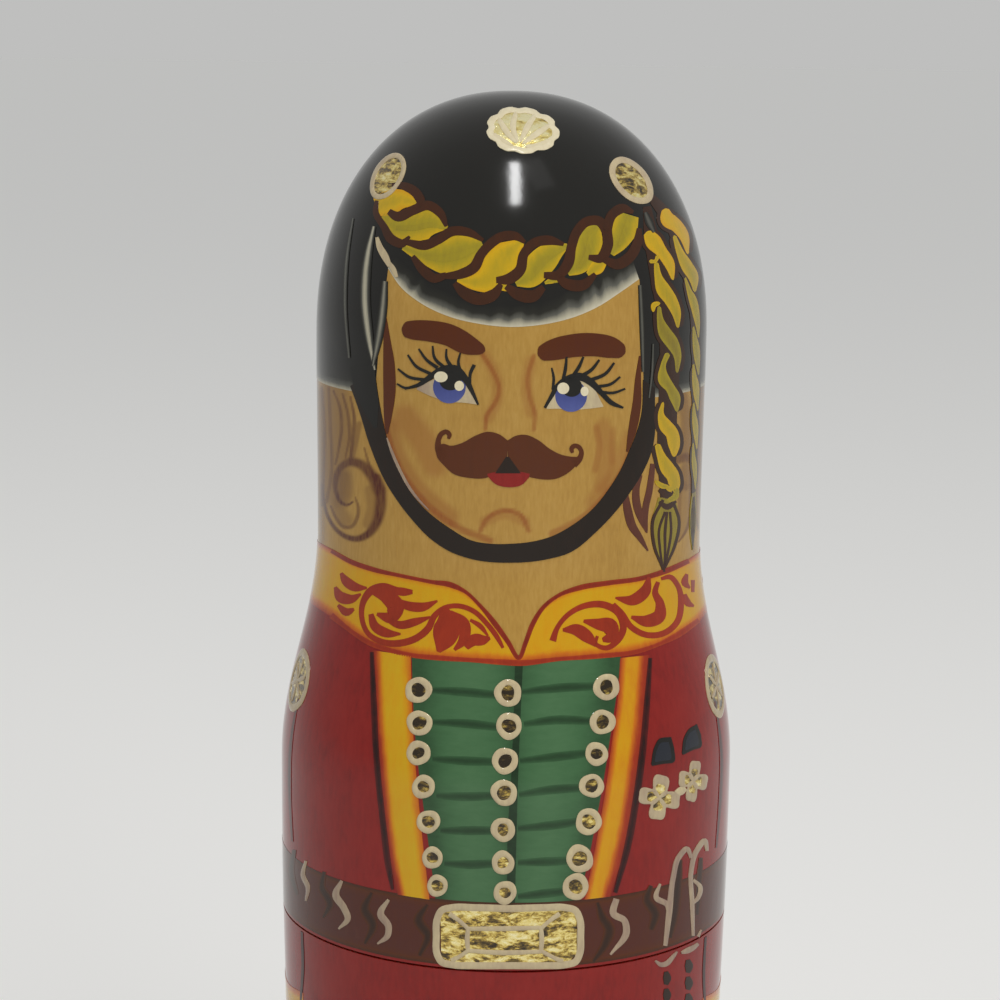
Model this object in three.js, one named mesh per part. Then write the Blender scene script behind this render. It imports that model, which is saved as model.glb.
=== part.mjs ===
// Matryoshka doll: a set of turned linden dolls that stand one inside the other.
// Every doll but the smallest is hollow and parts at the waist, where a lip on the
// lower half plugs into a socket in the upper half. The smallest doll is solid.
// Millimetres, +Z up, origin at the middle of the flat base.
import * as THREE from "three";

// Outline of the outer doll. Heights are measured from the base.
const HEIGHT = 180;
const BASE_RADIUS = 27.5;
const BODY_RADIUS = 31.3;
const BODY_HEIGHT = 89; // where the body is widest
const NECK_RADIUS = 26.4;
const NECK_HEIGHT = 120;
const HEAD_RADIUS = 26.6;
const HEAD_HEIGHT = 147.5; // where the head is widest and its dome begins
const DOME_FULLNESS = 2.18; // 2 makes the dome an ellipse, more makes it fuller
const SEAM_HEIGHT = 67.5;
const FOOT_BEVEL = 1.2;

// Room between the pieces.
const NEST_GAP = 1.2; // least room round a doll inside the next larger one
const FLOOR_GAP = 0.3; // under a doll that stands inside the next larger one
const SEAM_GAP = 0.3; // between the two rims
const LIP_GAP = 0.3; // round a lip and at its end

// Thickness of each hollow doll's side wall, floor and crown, and length of its lip.
const OUTER_WALL = 4.0;
const OUTER_FLOOR = 7.0;
const OUTER_CROWN = 8.0;
const OUTER_LIP = 9.0;
const SECOND_WALL = 3.2;
const SECOND_FLOOR = 5.6;
const SECOND_CROWN = 6.4;
const SECOND_LIP = 7.2;
const THIRD_WALL = 2.6;
const THIRD_FLOOR = 4.5;
const THIRD_CROWN = 5.1;
const THIRD_LIP = 5.8;
const FOURTH_WALL = 2.1;
const FOURTH_FLOOR = 3.6;
const FOURTH_CROWN = 4.1;
const FOURTH_LIP = 4.6;

// The hollow dolls, from the largest. Facets is the number of flats round the turning.
const HOLLOW_DOLLS = [
  {
    name: "outer",
    wall: OUTER_WALL,
    floor: OUTER_FLOOR,
    crown: OUTER_CROWN,
    lip: OUTER_LIP,
    facets: 44,
  },
  {
    name: "second",
    wall: SECOND_WALL,
    floor: SECOND_FLOOR,
    crown: SECOND_CROWN,
    lip: SECOND_LIP,
    facets: 36,
  },
  {
    name: "third",
    wall: THIRD_WALL,
    floor: THIRD_FLOOR,
    crown: THIRD_CROWN,
    lip: THIRD_LIP,
    facets: 30,
  },
  {
    name: "fourth",
    wall: FOURTH_WALL,
    floor: FOURTH_FLOOR,
    crown: FOURTH_CROWN,
    lip: FOURTH_LIP,
    facets: 26,
  },
];
const SMALLEST_DOLL = { name: "innermost", facets: 24 };

// Number of flats along each stretch of an outline: the outside is finer than the bore.
const OUTSIDE = { body: 4, waist: 2, shoulder: 5, face: 2, dome: 7 };
const BORE = { body: 3, waist: 1, shoulder: 4, face: 1, dome: 5 };

const PAINT = { roughness: 0.25, metalness: 0 };
const COAT_RED = new THREE.Color(0x8c2328);
const SKIRT_RED = new THREE.Color(0x7a2630);

// A doll of the outer doll's form at another scale, standing at a height.
function similarDoll(scale, foot) {
  return {
    scale,
    foot,
    base: BASE_RADIUS * scale,
    body: BODY_RADIUS * scale,
    neck: NECK_RADIUS * scale,
    head: HEAD_RADIUS * scale,
    bodyHeight: foot + BODY_HEIGHT * scale,
    neckHeight: foot + NECK_HEIGHT * scale,
    headHeight: foot + HEAD_HEIGHT * scale,
    seam: foot + SEAM_HEIGHT * scale,
    top: foot + HEIGHT * scale,
    bevel: FOOT_BEVEL * scale,
  };
}

// The space bored out of a doll: its outline less the wall, between floor and crown.
function boreOf(doll, shell) {
  return {
    ...doll,
    base: doll.base - shell.wall,
    body: doll.body - shell.wall,
    neck: doll.neck - shell.wall,
    head: doll.head - shell.wall,
    floor: doll.foot + shell.floor,
    top: doll.top - shell.crown,
  };
}

// Half a cosine wave, from 0 to 1, for the soft turn from one width to the next.
function ease(share) {
  return (1 - Math.cos(Math.PI * share)) / 2;
}

// Radius of a turned outline at a height: the body swells from the base as a parabola,
// eases in to the neck and out to the head, and the dome is a superellipse.
function radiusAt(height, form) {
  if (height < form.bodyHeight) {
    const below = (form.bodyHeight - height) / (form.bodyHeight - form.foot);
    return form.body - (form.body - form.base) * below ** 2;
  }
  if (height < form.neckHeight) {
    const share = (height - form.bodyHeight) / (form.neckHeight - form.bodyHeight);
    return form.body + (form.neck - form.body) * ease(share);
  }
  if (height < form.headHeight) {
    const share = (height - form.neckHeight) / (form.headHeight - form.neckHeight);
    return form.neck + (form.head - form.neck) * ease(share);
  }
  const share = Math.min(1, (height - form.headHeight) / (form.top - form.headHeight));
  return form.head * (1 - share ** DOME_FULLNESS) ** (1 / DOME_FULLNESS);
}

// Points of an outline between two heights, in even steps, both ends included.
function stretch(form, low, high, steps) {
  return Array.from({ length: steps + 1 }, (_, i) => {
    const height = low + ((high - low) * i) / steps;
    return new THREE.Vector2(radiusAt(height, form), height);
  });
}

// Points of the dome from just above the head's widest place to the axis, spaced by angle.
function dome(form, steps) {
  const rise = form.top - form.headHeight;
  const power = 2 / DOME_FULLNESS;
  const round = Array.from({ length: steps - 1 }, (_, i) => {
    const angle = ((i + 1) / steps) * (Math.PI / 2);
    return new THREE.Vector2(
      form.head * Math.cos(angle) ** power,
      form.headHeight + rise * Math.sin(angle) ** power,
    );
  });
  return [...round, new THREE.Vector2(0, form.top)];
}

// Points of an outline from a height up to the crown on the axis.
function risingOutline(form, start, steps) {
  const shoulderStart = Math.max(start, form.bodyHeight);
  const waist = stretch(form, start, shoulderStart, steps.waist);
  const shoulder = stretch(form, shoulderStart, form.neckHeight, steps.shoulder);
  const face = stretch(form, form.neckHeight, form.headHeight, steps.face);
  return [
    ...(start < form.bodyHeight ? waist.slice(0, -1) : []),
    ...shoulder.slice(0, -1),
    ...face,
    ...dome(form, steps.dome),
  ];
}

// Points of the outside from the middle of the base, round the bevel, up to a height.
function risingFoot(doll, end) {
  const bevelTop = doll.foot + doll.bevel;
  return [
    new THREE.Vector2(0, doll.foot),
    new THREE.Vector2(radiusAt(doll.foot, doll) - doll.bevel, doll.foot),
    ...stretch(doll, bevelTop, end, OUTSIDE.body),
  ];
}

// Where the two halves of a doll plug together: the wall is halved between the lip on
// the lower half and the socket in the upper half.
function seatOf(doll, shell) {
  const bore = radiusAt(doll.seam, doll) - shell.wall;
  const lipRadius = bore + (shell.wall - LIP_GAP) / 2;
  return {
    bore,
    lipRadius,
    lipTop: doll.seam + shell.lip,
    socketRadius: lipRadius + LIP_GAP,
    socketTop: doll.seam + shell.lip + LIP_GAP,
    rim: doll.seam + SEAM_GAP,
  };
}

function lowerHalfProfile(doll, shell) {
  const seat = seatOf(doll, shell);
  const bore = boreOf(doll, shell);
  return [
    ...risingFoot(doll, doll.seam),
    new THREE.Vector2(seat.lipRadius, doll.seam),
    new THREE.Vector2(seat.lipRadius, seat.lipTop),
    new THREE.Vector2(seat.bore, seat.lipTop),
    ...stretch(bore, bore.floor, doll.seam, BORE.body).reverse(),
    new THREE.Vector2(0, bore.floor),
  ];
}

function upperHalfProfile(doll, shell) {
  const seat = seatOf(doll, shell);
  const bore = boreOf(doll, shell);
  return [
    new THREE.Vector2(0, bore.top),
    ...risingOutline(bore, seat.socketTop, BORE).slice(0, -1).reverse(),
    new THREE.Vector2(seat.socketRadius, seat.socketTop),
    new THREE.Vector2(seat.socketRadius, seat.rim),
    ...risingOutline(doll, seat.rim, OUTSIDE),
  ];
}

function solidProfile(doll) {
  return [
    ...risingFoot(doll, doll.bodyHeight).slice(0, -1),
    ...risingOutline(doll, doll.bodyHeight, OUTSIDE),
  ];
}

// True if a doll clears the bore of the larger doll it stands in, and the waist of each
// half that is lifted off it or out of which it is lifted.
function clears(doll, larger, shell) {
  const bore = boreOf(larger, shell);
  const seat = seatOf(larger, shell);
  const lowest = doll.foot + doll.bevel;
  const heights = stretch(doll, lowest, doll.top, 90).map((point) => point.y);
  const room = heights.map((height) => {
    if (height > bore.top) return -1;
    const wall = radiusAt(height, bore);
    return height > seat.socketTop ? wall : Math.min(wall, seat.bore);
  });
  let narrowest = Infinity;
  return heights.every((height, i) => {
    narrowest = height > seat.socketTop ? Math.min(narrowest, room[i]) : room[i];
    return radiusAt(height, doll) + NEST_GAP <= narrowest;
  });
}

// The largest similar doll that stands inside another, found by halving the interval.
function nestedDoll(larger, shell) {
  const foot = larger.foot + shell.floor + FLOOR_GAP;
  let fits = 0;
  let tooLarge = larger.scale;
  for (let i = 0; i < 30; i += 1) {
    const trial = (fits + tooLarge) / 2;
    if (clears(similarDoll(trial, foot), larger, shell)) fits = trial;
    else tooLarge = trial;
  }
  return similarDoll(fits, foot);
}

// A named piece turned round the Z axis from its profile.
function turnedPiece(name, profile, facets, color) {
  const geometry = new THREE.LatheGeometry(profile, facets);
  geometry.rotateX(Math.PI / 2);
  const piece = new THREE.Mesh(geometry, new THREE.MeshStandardMaterial({ ...PAINT, color }));
  piece.name = name;
  return piece;
}

const matryoshka = new THREE.Group();
let doll = similarDoll(1, 0);
for (const shell of HOLLOW_DOLLS) {
  matryoshka.add(
    turnedPiece(
      `${shell.name}_bottom_half`,
      lowerHalfProfile(doll, shell),
      shell.facets,
      SKIRT_RED,
    ),
    turnedPiece(
      `${shell.name}_top_half`,
      upperHalfProfile(doll, shell),
      shell.facets,
      COAT_RED,
    ),
  );
  doll = nestedDoll(doll, shell);
}
matryoshka.add(
  turnedPiece(
    `${SMALLEST_DOLL.name}_doll`,
    solidProfile(doll),
    SMALLEST_DOLL.facets,
    COAT_RED,
  ),
);

export default matryoshka;
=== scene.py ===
import math

import bpy
import numpy as np
from mathutils import Matrix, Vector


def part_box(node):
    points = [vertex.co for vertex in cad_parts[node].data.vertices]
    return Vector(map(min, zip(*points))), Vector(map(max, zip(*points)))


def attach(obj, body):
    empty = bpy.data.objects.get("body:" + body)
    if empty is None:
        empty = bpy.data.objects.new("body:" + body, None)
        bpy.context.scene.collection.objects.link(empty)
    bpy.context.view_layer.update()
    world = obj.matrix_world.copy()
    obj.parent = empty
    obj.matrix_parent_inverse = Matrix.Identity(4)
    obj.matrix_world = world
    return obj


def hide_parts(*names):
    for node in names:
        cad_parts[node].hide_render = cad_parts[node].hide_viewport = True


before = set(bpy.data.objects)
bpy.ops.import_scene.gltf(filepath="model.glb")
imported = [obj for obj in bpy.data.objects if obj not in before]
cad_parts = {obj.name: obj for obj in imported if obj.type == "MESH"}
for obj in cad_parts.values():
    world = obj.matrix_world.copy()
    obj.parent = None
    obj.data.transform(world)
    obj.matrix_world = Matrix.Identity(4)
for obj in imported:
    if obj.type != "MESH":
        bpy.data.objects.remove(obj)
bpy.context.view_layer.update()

# A painted and lacquered linden nesting doll. Every doll of the set has the outer doll's form, so
# all the painting is laid out once on the outer doll, in millimetres, and scaled onto the others.
# A place on a doll is a turn about the axis (0 at the front, positive to the viewer's right) and
# a run, the length along the outline from the foot.
MM = 0.001

# Outline of the outer doll, as it is turned, mm.
HEIGHT = 180.0
BASE_RADIUS = 27.5
BODY_RADIUS = 31.3
BODY_HEIGHT = 89.0
NECK_RADIUS = 26.4
NECK_HEIGHT = 120.0
HEAD_RADIUS = 26.6
HEAD_HEIGHT = 147.5
DOME_FULLNESS = 2.18
SEAM = 67.5
SEAM_GAP = 0.3
LIP_GAP = 0.3
FOOT_BEVEL = 1.2

# Side wall, floor, crown and lip of each hollow doll, mm.
SHELLS = {
    "outer": (4.0, 7.0, 8.0, 9.0),
    "second": (3.2, 5.6, 6.4, 7.2),
    "third": (2.6, 4.5, 5.1, 5.8),
    "fourth": (2.1, 3.6, 4.1, 4.6),
}

# Depth of each coat under the outermost surface, mm, so that the relief ends flush with it. A mark is a
# thin solid that reaches down to UNDER, inside the wood. A few thousandths more or less keep two marks of
# one coat apart where they cross.
WOOD = -0.24
GLAZE = -0.22
GROUND = -0.20
PANEL = -0.185
BELT = -0.17
TRIM = -0.155
LINE = -0.14
DETAIL = -0.125
RAISED = -0.115
UNDER = -0.34
RELIEF = 0.115  # full height of the raised paste

# The camera of the photograph, fitted to the doll's outline in its 1000 by 1000 pixels.
PICTURE = 1000.0
MIDDLE = PICTURE / 2
LENS_PX = 2700.0
CAMERA = np.array([-1.26, -365.0, 185.0])
PITCH = math.radians(9.44)
ROLL = math.radians(0.73)
NEAREST, FARTHEST = 318.0, 402.0  # depths, mm, between which the front of the doll lies


def turned_radius(z, wall=0.0):
    """Radius at height z, from the foot to where the dome begins: a parabola up to the widest place, then
    half cosine waves in to the neck and out to the head; all less a wall."""
    widths = (BODY_RADIUS, BASE_RADIUS, NECK_RADIUS, HEAD_RADIUS)
    body, base, neck, head = (width - wall for width in widths)
    z = np.asarray(z, float)

    def ease(low, high):
        """Half a cosine wave, from 0 at low to 1 at high."""
        return (1 - np.cos(np.pi * np.clip((z - low) / (high - low), 0, 1))) / 2

    swell = body - (body - base) * ((BODY_HEIGHT - z) / BODY_HEIGHT) ** 2
    shoulder = body + (neck - body) * ease(BODY_HEIGHT, NECK_HEIGHT)
    face = neck + (head - neck) * ease(NECK_HEIGHT, HEAD_HEIGHT)
    return np.select([z < BODY_HEIGHT, z < NECK_HEIGHT], [swell, shoulder], face)


def dome_points(count, wall=0.0, top=HEIGHT):
    """Points (r, z) of the superellipse dome from its widest place to the axis, spaced by angle."""
    angle = np.linspace(0, np.pi / 2, count)
    power = 2 / DOME_FULLNESS
    r = (HEAD_RADIUS - wall) * np.maximum(np.cos(angle), 0) ** power
    z = HEAD_HEIGHT + (top - HEAD_HEIGHT) * np.sin(angle) ** power
    return np.stack([r, z], -1)


# The outline in fine steps of radius, height, run and outward normal, to be read off between them.
_below = np.linspace(0, HEAD_HEIGHT, 1500)[:-1]
OUT_R, OUT_Z = np.vstack([np.stack([turned_radius(_below), _below], -1), dome_points(500)]).T
OUT_RUN = np.concatenate([[0], np.cumsum(np.hypot(np.diff(OUT_R), np.diff(OUT_Z)))])
OUT_NORMAL_R = np.gradient(OUT_Z, OUT_RUN)
OUT_NORMAL_Z = -np.gradient(OUT_R, OUT_RUN)
TOP_RUN = OUT_RUN[-1]


def run_at(z):
    """Length along the outline up to height z."""
    return np.interp(z, OUT_Z, OUT_RUN)


def outline_at(run, lift):
    """Radius and height of the outline at run, moved out along its normal by lift."""
    radius = np.interp(run, OUT_RUN, OUT_R) + lift * np.interp(run, OUT_RUN, OUT_NORMAL_R)
    z = np.interp(run, OUT_RUN, OUT_Z) + lift * np.interp(run, OUT_RUN, OUT_NORMAL_Z)
    return np.maximum(radius, 0.0), z


def surface(turn, run, lift):
    """Points on the outer doll, mm: the outline at run and lift, turned about the axis."""
    radius, z = outline_at(run, lift)
    return np.stack([radius * np.sin(turn), -radius * np.cos(turn), z], -1)


_up = np.array([0.0, math.sin(PITCH), math.cos(PITCH)])
_right = np.array([1.0, 0.0, 0.0])
AHEAD = np.array([0.0, math.cos(PITCH), -math.sin(PITCH)])
IMAGE_RIGHT = math.cos(ROLL) * _right + math.sin(ROLL) * _up
IMAGE_UP = math.cos(ROLL) * _up - math.sin(ROLL) * _right


def on_doll(pixels):
    """Turn and run where the sight line of each photo pixel first meets the outer doll. The
    distance from the axis less the radius is walked from the camera and the crossing is halved;
    a line that misses takes the place where it comes nearest."""
    pixels = np.asarray(pixels, float)
    across, down = pixels[..., :1] - MIDDLE, pixels[..., 1:] - MIDDLE
    rays = AHEAD + across / LENS_PX * IMAGE_RIGHT - down / LENS_PX * IMAGE_UP
    rays = rays.reshape(-1, 3)

    def clearance(depth):
        """Distance from the axis less the doll's radius, at a depth along each sight line."""
        point = CAMERA + rays * depth[:, None]
        return np.hypot(point[:, 0], point[:, 1]) - np.interp(point[:, 2], OUT_Z, OUT_R)

    depths = np.linspace(NEAREST, FARTHEST, 127)
    field = np.stack([clearance(np.full(len(rays), depth)) for depth in depths])
    meets = (field < 0).any(0)
    first = np.where(meets, (field < 0).argmax(0), field.argmin(0))
    far = depths[first]
    near = np.where(meets, depths[np.maximum(first - 1, 0)], far)
    for _ in range(20):
        half = (near + far) / 2
        inside = clearance(half) < 0
        far = np.where(inside, half, far)
        near = np.where(inside, near, half)
    point = CAMERA + rays * far[:, None]
    turn = np.arctan2(point[:, 0], -point[:, 1]).reshape(pixels.shape[:-1])
    return turn, run_at(point[:, 2]).reshape(pixels.shape[:-1])


# Unseen places are laid out in degrees round the doll and millimetres up it. The plan is drawn
# flat, with half a millimetre to the degree, which is true size where the doll is 57 mm wide.
MM_PER_DEGREE = 0.5


def unrolled(plan):
    """Turn and run of places on the flat plan."""
    plan = np.asarray(plan, float)
    return np.radians(plan[..., 0] / MM_PER_DEGREE), run_at(plan[..., 1])


def flat(points):
    """Plan coordinates of places given as (degrees, height)."""
    return np.asarray(points, float) * np.array([MM_PER_DEGREE, 1.0])


def mirrored(path, side):
    """Places (degrees, height) on the right of the doll, or on its left where side is -1."""
    return [(side * at, height) for at, height in path]


def smooth(points, count):
    """Cubic Hermite curve through the points at count places evenly spaced by chord length, with
    each tangent taken from the two neighbours."""
    points = np.asarray(points, float)
    chord = np.hypot(*np.diff(points[:, :2], axis=0).T)
    at = np.concatenate([[0], np.cumsum(np.maximum(chord, 1e-6))])
    slope = np.gradient(points, at, axis=0)
    where = np.linspace(0, at[-1], count)
    i = np.clip(np.searchsorted(at, where, side="right") - 1, 0, len(points) - 2)
    span = (at[i + 1] - at[i])[:, None]
    s = (where - at[i])[:, None] / span
    return (
        (2 * s ** 3 - 3 * s ** 2 + 1) * points[i]
        + (s ** 3 - 2 * s ** 2 + s) * span * slope[i]
        + (3 * s ** 2 - 2 * s ** 3) * points[i + 1]
        + (s ** 3 - s ** 2) * span * slope[i + 1]
    )


def length_of(points):
    """Length of the straight steps from point to point."""
    return float(np.hypot(*np.diff(np.asarray(points, float)[:, :2], axis=0).T).sum())


FINEST = 0.35  # least width of a brush mark, in steps along it
ROUND_TIP = 0.03  # how much of its round end's width, squared, a mark keeps at the very tip
DAB_TIP = 0.10  # angle left off both ends of a dab, so that its last chords have a width


def brush_mark(path, width, step, across, round_ends=(0.0, 0.0)):
    """Grid of a brush mark: a curve through path with half its width laid off to each side along
    its normal. A round end narrows as a quarter circle over the given length."""
    path = np.asarray(path, float)
    width = np.broadcast_to(np.asarray(width, float), len(path))
    count = max(6, int(length_of(path) / step) + 2)
    line = smooth(np.column_stack([path, width]), count)
    middle, wide = line[:, :2], np.maximum(line[:, 2], FINEST * step)
    along = np.concatenate([[0], np.cumsum(np.hypot(*np.diff(middle, axis=0).T))])
    for end, reach in zip((along, along[-1] - along), round_ends):
        if reach > 0:
            wide = wide * np.sqrt(np.clip(1 - np.clip(1 - end / reach, 0, 1) ** 2, ROUND_TIP, 1))
    tangent = np.gradient(middle, axis=0)
    tangent /= np.maximum(np.linalg.norm(tangent, axis=1, keepdims=True), 1e-9)
    normal = np.stack([-tangent[:, 1], tangent[:, 0]], -1)
    side = np.linspace(-0.5, 0.5, across)
    return middle[:, None] + normal[:, None] * (wide[:, None] * side)[..., None]


def spread(edge_a, edge_b, step, across=None):
    """Grid of an area: straight rulings from one edge to the other, evenly spaced along both."""
    longest = max(length_of(edge_a), length_of(edge_b))
    count = max(4, int(longest / step) + 2)
    a, b = smooth(edge_a, count), smooth(edge_b, count)
    widest = np.hypot(*(a - b).T).max()
    across = across or max(3, int(widest / step) + 2)
    share = np.linspace(0, 1, across)[None, :, None]
    return a[:, None] * (1 - share) + b[:, None] * share


def tilted(centre, u, v, tilt):
    """Places at u along and v across an axis through a centre, tilted by degrees."""
    c, s = math.cos(math.radians(tilt)), math.sin(math.radians(tilt))
    return np.stack([centre[0] + c * u - s * v, centre[1] + s * u + c * v], -1)


def dot(centre, radius, tilt=0.0, *, count, across):
    """Grid of an elliptical dab: chords of the ellipse, spaced by angle along its long axis."""
    long, short = np.broadcast_to(radius, 2)
    angle = np.linspace(DAB_TIP, np.pi - DAB_TIP, count)[:, None]
    side = np.linspace(-1, 1, across)
    return tilted(centre, -long * np.cos(angle) + 0 * side, short * np.sin(angle) * side, tilt)


def ring(centre, outer, inner, tilt=0.0, *, count, across, lobes=0, depth=0.0, wobble, seed):
    """Grid of a closed ring between two ellipses; lobes, flattened by their first overtone, and a
    seeded wobble vary its radius as sums of sine waves of the angle."""
    angle = np.linspace(0, 2 * np.pi, count, endpoint=False)[:, None]
    a, b, c = np.random.default_rng(seed).uniform(0, 2 * np.pi, 3)
    waves = np.sin(2 * angle + a) + np.sin(3 * angle + b) + 0.6 * np.sin(5 * angle + c)
    vary = 1 + depth * (np.cos(lobes * angle) - 0.4 * np.cos(2 * lobes * angle))
    vary += wobble * waves / 2
    share = np.linspace(0, 1, across)
    inner, outer = np.broadcast_to(inner, 2), np.broadcast_to(outer, 2)
    u = np.cos(angle) * (inner[0] + (outer[0] - inner[0]) * share) * vary
    v = np.sin(angle) * (inner[1] + (outer[1] - inner[1]) * share) * vary
    return tilted(centre, u, v, tilt)


def spokes(centre, reach, degrees):
    """Straight strokes from a centre out to reach, a half width and height, at each of the angles."""
    centre = np.asarray(centre, float)
    for angle in np.radians(degrees):
        tip = centre + np.multiply(reach, [math.cos(angle), math.sin(angle)])
        yield [centre, (centre + tip) / 2, tip]


def eased(share):
    """Smooth step from 0 to 1, with level ends."""
    share = np.clip(share, 0, 1)
    return share * share * (3 - 2 * share)


def soft_strokes(places, strokes):
    """Strength of soft glaze strokes at places: each fades with the distance to its path as a
    smooth step over its width there, and they build up as thin coats of colour do."""
    bare = np.ones(places.shape[:-1])
    for path, width, strength in strokes:
        line = smooth(path, count=max(8, int(length_of(path) / 3)))
        a, b = line[:-1], line[1:]
        offset = places[..., None, :] - a
        nearest = (offset * (b - a)).sum(-1) / np.maximum(((b - a) ** 2).sum(-1), 1e-9)
        gap = np.linalg.norm(offset - np.clip(nearest, 0, 1)[..., None] * (b - a), axis=-1)
        along = np.linspace(0, 1, len(a))
        reach = np.interp(along, np.linspace(0, 1, np.size(width)), np.atleast_1d(width))
        bare = bare * (1 - strength * eased(1.5 - 1.5 * (gap / reach).min(-1)))
    return 1 - bare


def from_edges(v, reach):
    """1 on both edges of a grid and 0 beyond reach, a share of its width, in a smooth step."""
    return eased(1 - np.minimum(v, 1 - v) / reach)


# The painting: each mark lies on one half, in one paint, as turn, run, lift and shade on a grid.
PAINTING = []


def lay(half, paint, place, lift, shade, relief=0.0, ringed=False, hub=False, fine=False, hair=0.0,
        under=UNDER):
    """Keeps one mark of the painting. Relief raises it across its width as half an ellipse. A ringed
    mark closes on itself, a hub closes its first row, and a fine mark is left off the small dolls."""
    turn, run = place
    v = np.linspace(0, 1, turn.shape[1])
    crown = relief * np.sqrt(np.clip(1 - (2 * v - 1) ** 2, 0, 1))
    PAINTING.append({
        "half": half, "paint": paint, "turn": turn, "run": run, "under": under,
        "ringed": ringed, "hub": hub, "fine": fine,
        "lift": np.broadcast_to(lift + crown, turn.shape),
        "shade": np.broadcast_to(shade, turn.shape),
        "hair": np.broadcast_to(hair, turn.shape),
    })


def marks(half, paint, strokes, lift, shade=0.5, relief=0.0, across=5, ends=(0.0, 0.0), fine=False,
          place=on_doll, step=2.2, belly=0.0):
    """Lays brush marks given as (path, width) or (path, width, shade). The shade changes by belly
    from the edges of a mark to its middle, as a power of a sine wave."""
    middle = belly * np.sin(np.pi * np.linspace(0, 1, across)) ** 1.2
    for path, width, *own in strokes:
        grid = brush_mark(flat(path) if place is unrolled else path, width, step, across, ends)
        tone = own[0] if own else shade
        lay(half, paint, place(grid), lift, shade=tone + middle, relief=relief, fine=fine)


# Angles of the columns of what goes right round the doll, closer together at the front.
ROUND = np.radians(np.unique(np.round(np.concatenate([
    np.arange(-180, 180, 2.0), np.arange(-60, 60, 1.0), np.arange(-8, 8, 0.4)]), 3)))
SEEN_TURN = math.radians(96)  # no edge is seen in the photograph beyond this turn


def belt_of(upper, lower, rows):
    """Turn and run of a ring right round the doll between two edges, each a run per column."""
    share = np.linspace(0, 1, rows)[None, :]
    upper, lower = (np.broadcast_to(edge, ROUND.shape)[:, None] for edge in (upper, lower))
    run = upper * (1 - share) + lower * share
    return np.broadcast_to(ROUND[:, None], run.shape), run


def edge_round(pixels):
    """Run per column of an edge seen in the photograph, joined to a level run behind the doll."""
    turn, run = on_doll(smooth(pixels, count=220))
    behind = (run[0] + run[-1]) / 2
    order = np.argsort(turn)
    turn = np.concatenate([[-np.pi, -SEEN_TURN], turn[order], [SEEN_TURN, np.pi]])
    run = np.concatenate([[behind, behind], run[order], [behind, behind]])
    return np.interp(ROUND, turn, run)


# Hat: black enamel from the crown to the visor in front, and to a straight edge round the back, whose
# lowest few millimetres are painted pale as a painted sheen.
VISOR_EDGE = [
    (387, 268), (400, 287), (420, 303), (450, 317), (480, 324), (510, 327), (540, 325), (575, 317),
    (600, 306), (620, 293), (640, 279),
]
VISOR_FADE = [
    (396, 256), (412, 271), (430, 283), (456, 296), (483, 303), (510, 306), (540, 302), (571, 289),
    (591, 275), (608, 260), (629, 246),
]
CAP_EDGE = [(372, 262), *VISOR_EDGE, (655, 270)]
HAT_LEFT = [(374, 392), (378, 345), (383, 300), (388, 262)]
HAT_RIGHT = [(645, 392), (643, 330), (640, 268)]
EDGE_PLACE = (332, 387)
HAT_BACK = float(np.interp(on_doll([EDGE_PLACE])[1][0], OUT_RUN, OUT_Z))  # height of the straight edge
BACK_TOP = 159.5  # where the back starts under the crown's own coat
SHEEN_HEIGHT = 3.4  # height over which the edge is painted pale, a painted sheen
CROWN_HUB = 0.05  # run that is left at the crown for one closing polygon
DRAGS = 46  # strokes of a dry brush along the visor's edge
cap = belt_of(TOP_RUN - CROWN_HUB, edge_round(CAP_EDGE), rows=44)
lay("top", "black", cap, GROUND, shade=0.0, ringed=True, hub=True)
# Round the back the black fades to pale grey over its lowest few millimetres: a painted sheen along the
# hat's edge.
above = np.linspace(BACK_TOP, HAT_BACK + SHEEN_HEIGHT + 0.2, 17)
height = np.concatenate([above, HAT_BACK + SHEEN_HEIGHT * np.linspace(1, 0, 12)[1:]])
run = run_at(height)[None, :]
left_turn, left_run = on_doll(smooth(HAT_LEFT, count=60))
right_turn, right_run = on_doll(smooth(HAT_RIGHT, count=60))
start = np.interp(run, right_run, right_turn)
end = 2 * np.pi + np.interp(run, left_run, left_turn)
turn = start + (end - start) * np.linspace(0, 1, 130)[:, None]
rim = np.clip(1 - (height - HAT_BACK) / SHEEN_HEIGHT, 0, 1) ** 1.8
lay("top", "black", (turn, np.broadcast_to(run, turn.shape)), GROUND - 0.006, shade=0.85 * rim)

# Along the visor the black is painted pale at the edge and fades inwards in drags of a dry brush: a painted
# sheen.
grid = spread(VISOR_EDGE, VISOR_FADE, step=2.5, across=13)
pull = np.random.default_rng(7).uniform(0.7, 1.7, DRAGS)
drag = np.interp(np.linspace(0, 1, len(grid)), np.linspace(0, 1, DRAGS), pull)
lay("top", "black", on_doll(grid), PANEL, shade=0.92 * np.linspace(1, 0, 13) ** drag[:, None])

HAT_PIPING = [
    ([(352, 218), (346, 256), (344, 305), (348, 358)], [2, 4, 4, 3], 0.62),
    ([(373, 226), (367, 254), (364, 300), (368, 338), (374, 370)], [4, 9, 11, 9, 3], 0.86),
    ([(384, 281), (382, 308), (377, 342), (372, 366)], [6, 9, 8, 3], 0.72),
    ([(641, 285), (643, 330), (644, 372)], [4, 5, 3], 0.6),
    ([(654, 344), (653, 372), (650, 398)], [2, 3, 2], 0.6),
    ([(646, 212), (650, 222), (655, 232)], [4, 8, 3], 0.55),
]
for path, width, tone in HAT_PIPING:
    marks("top", "black", [(path, width)], DETAIL, shade=0.1, across=7, belly=tone - 0.1)
CORNER = [
    ([(376, 237), (379, 247), (384, 256), (389, 266)], [3, 6, 7, 4], 0.4),
    ([(388, 262), (392, 268), (396, 277)], [3, 5, 3], 0.4),
]
marks("top", "cream", CORNER, DETAIL, shade=0.4)

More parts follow.
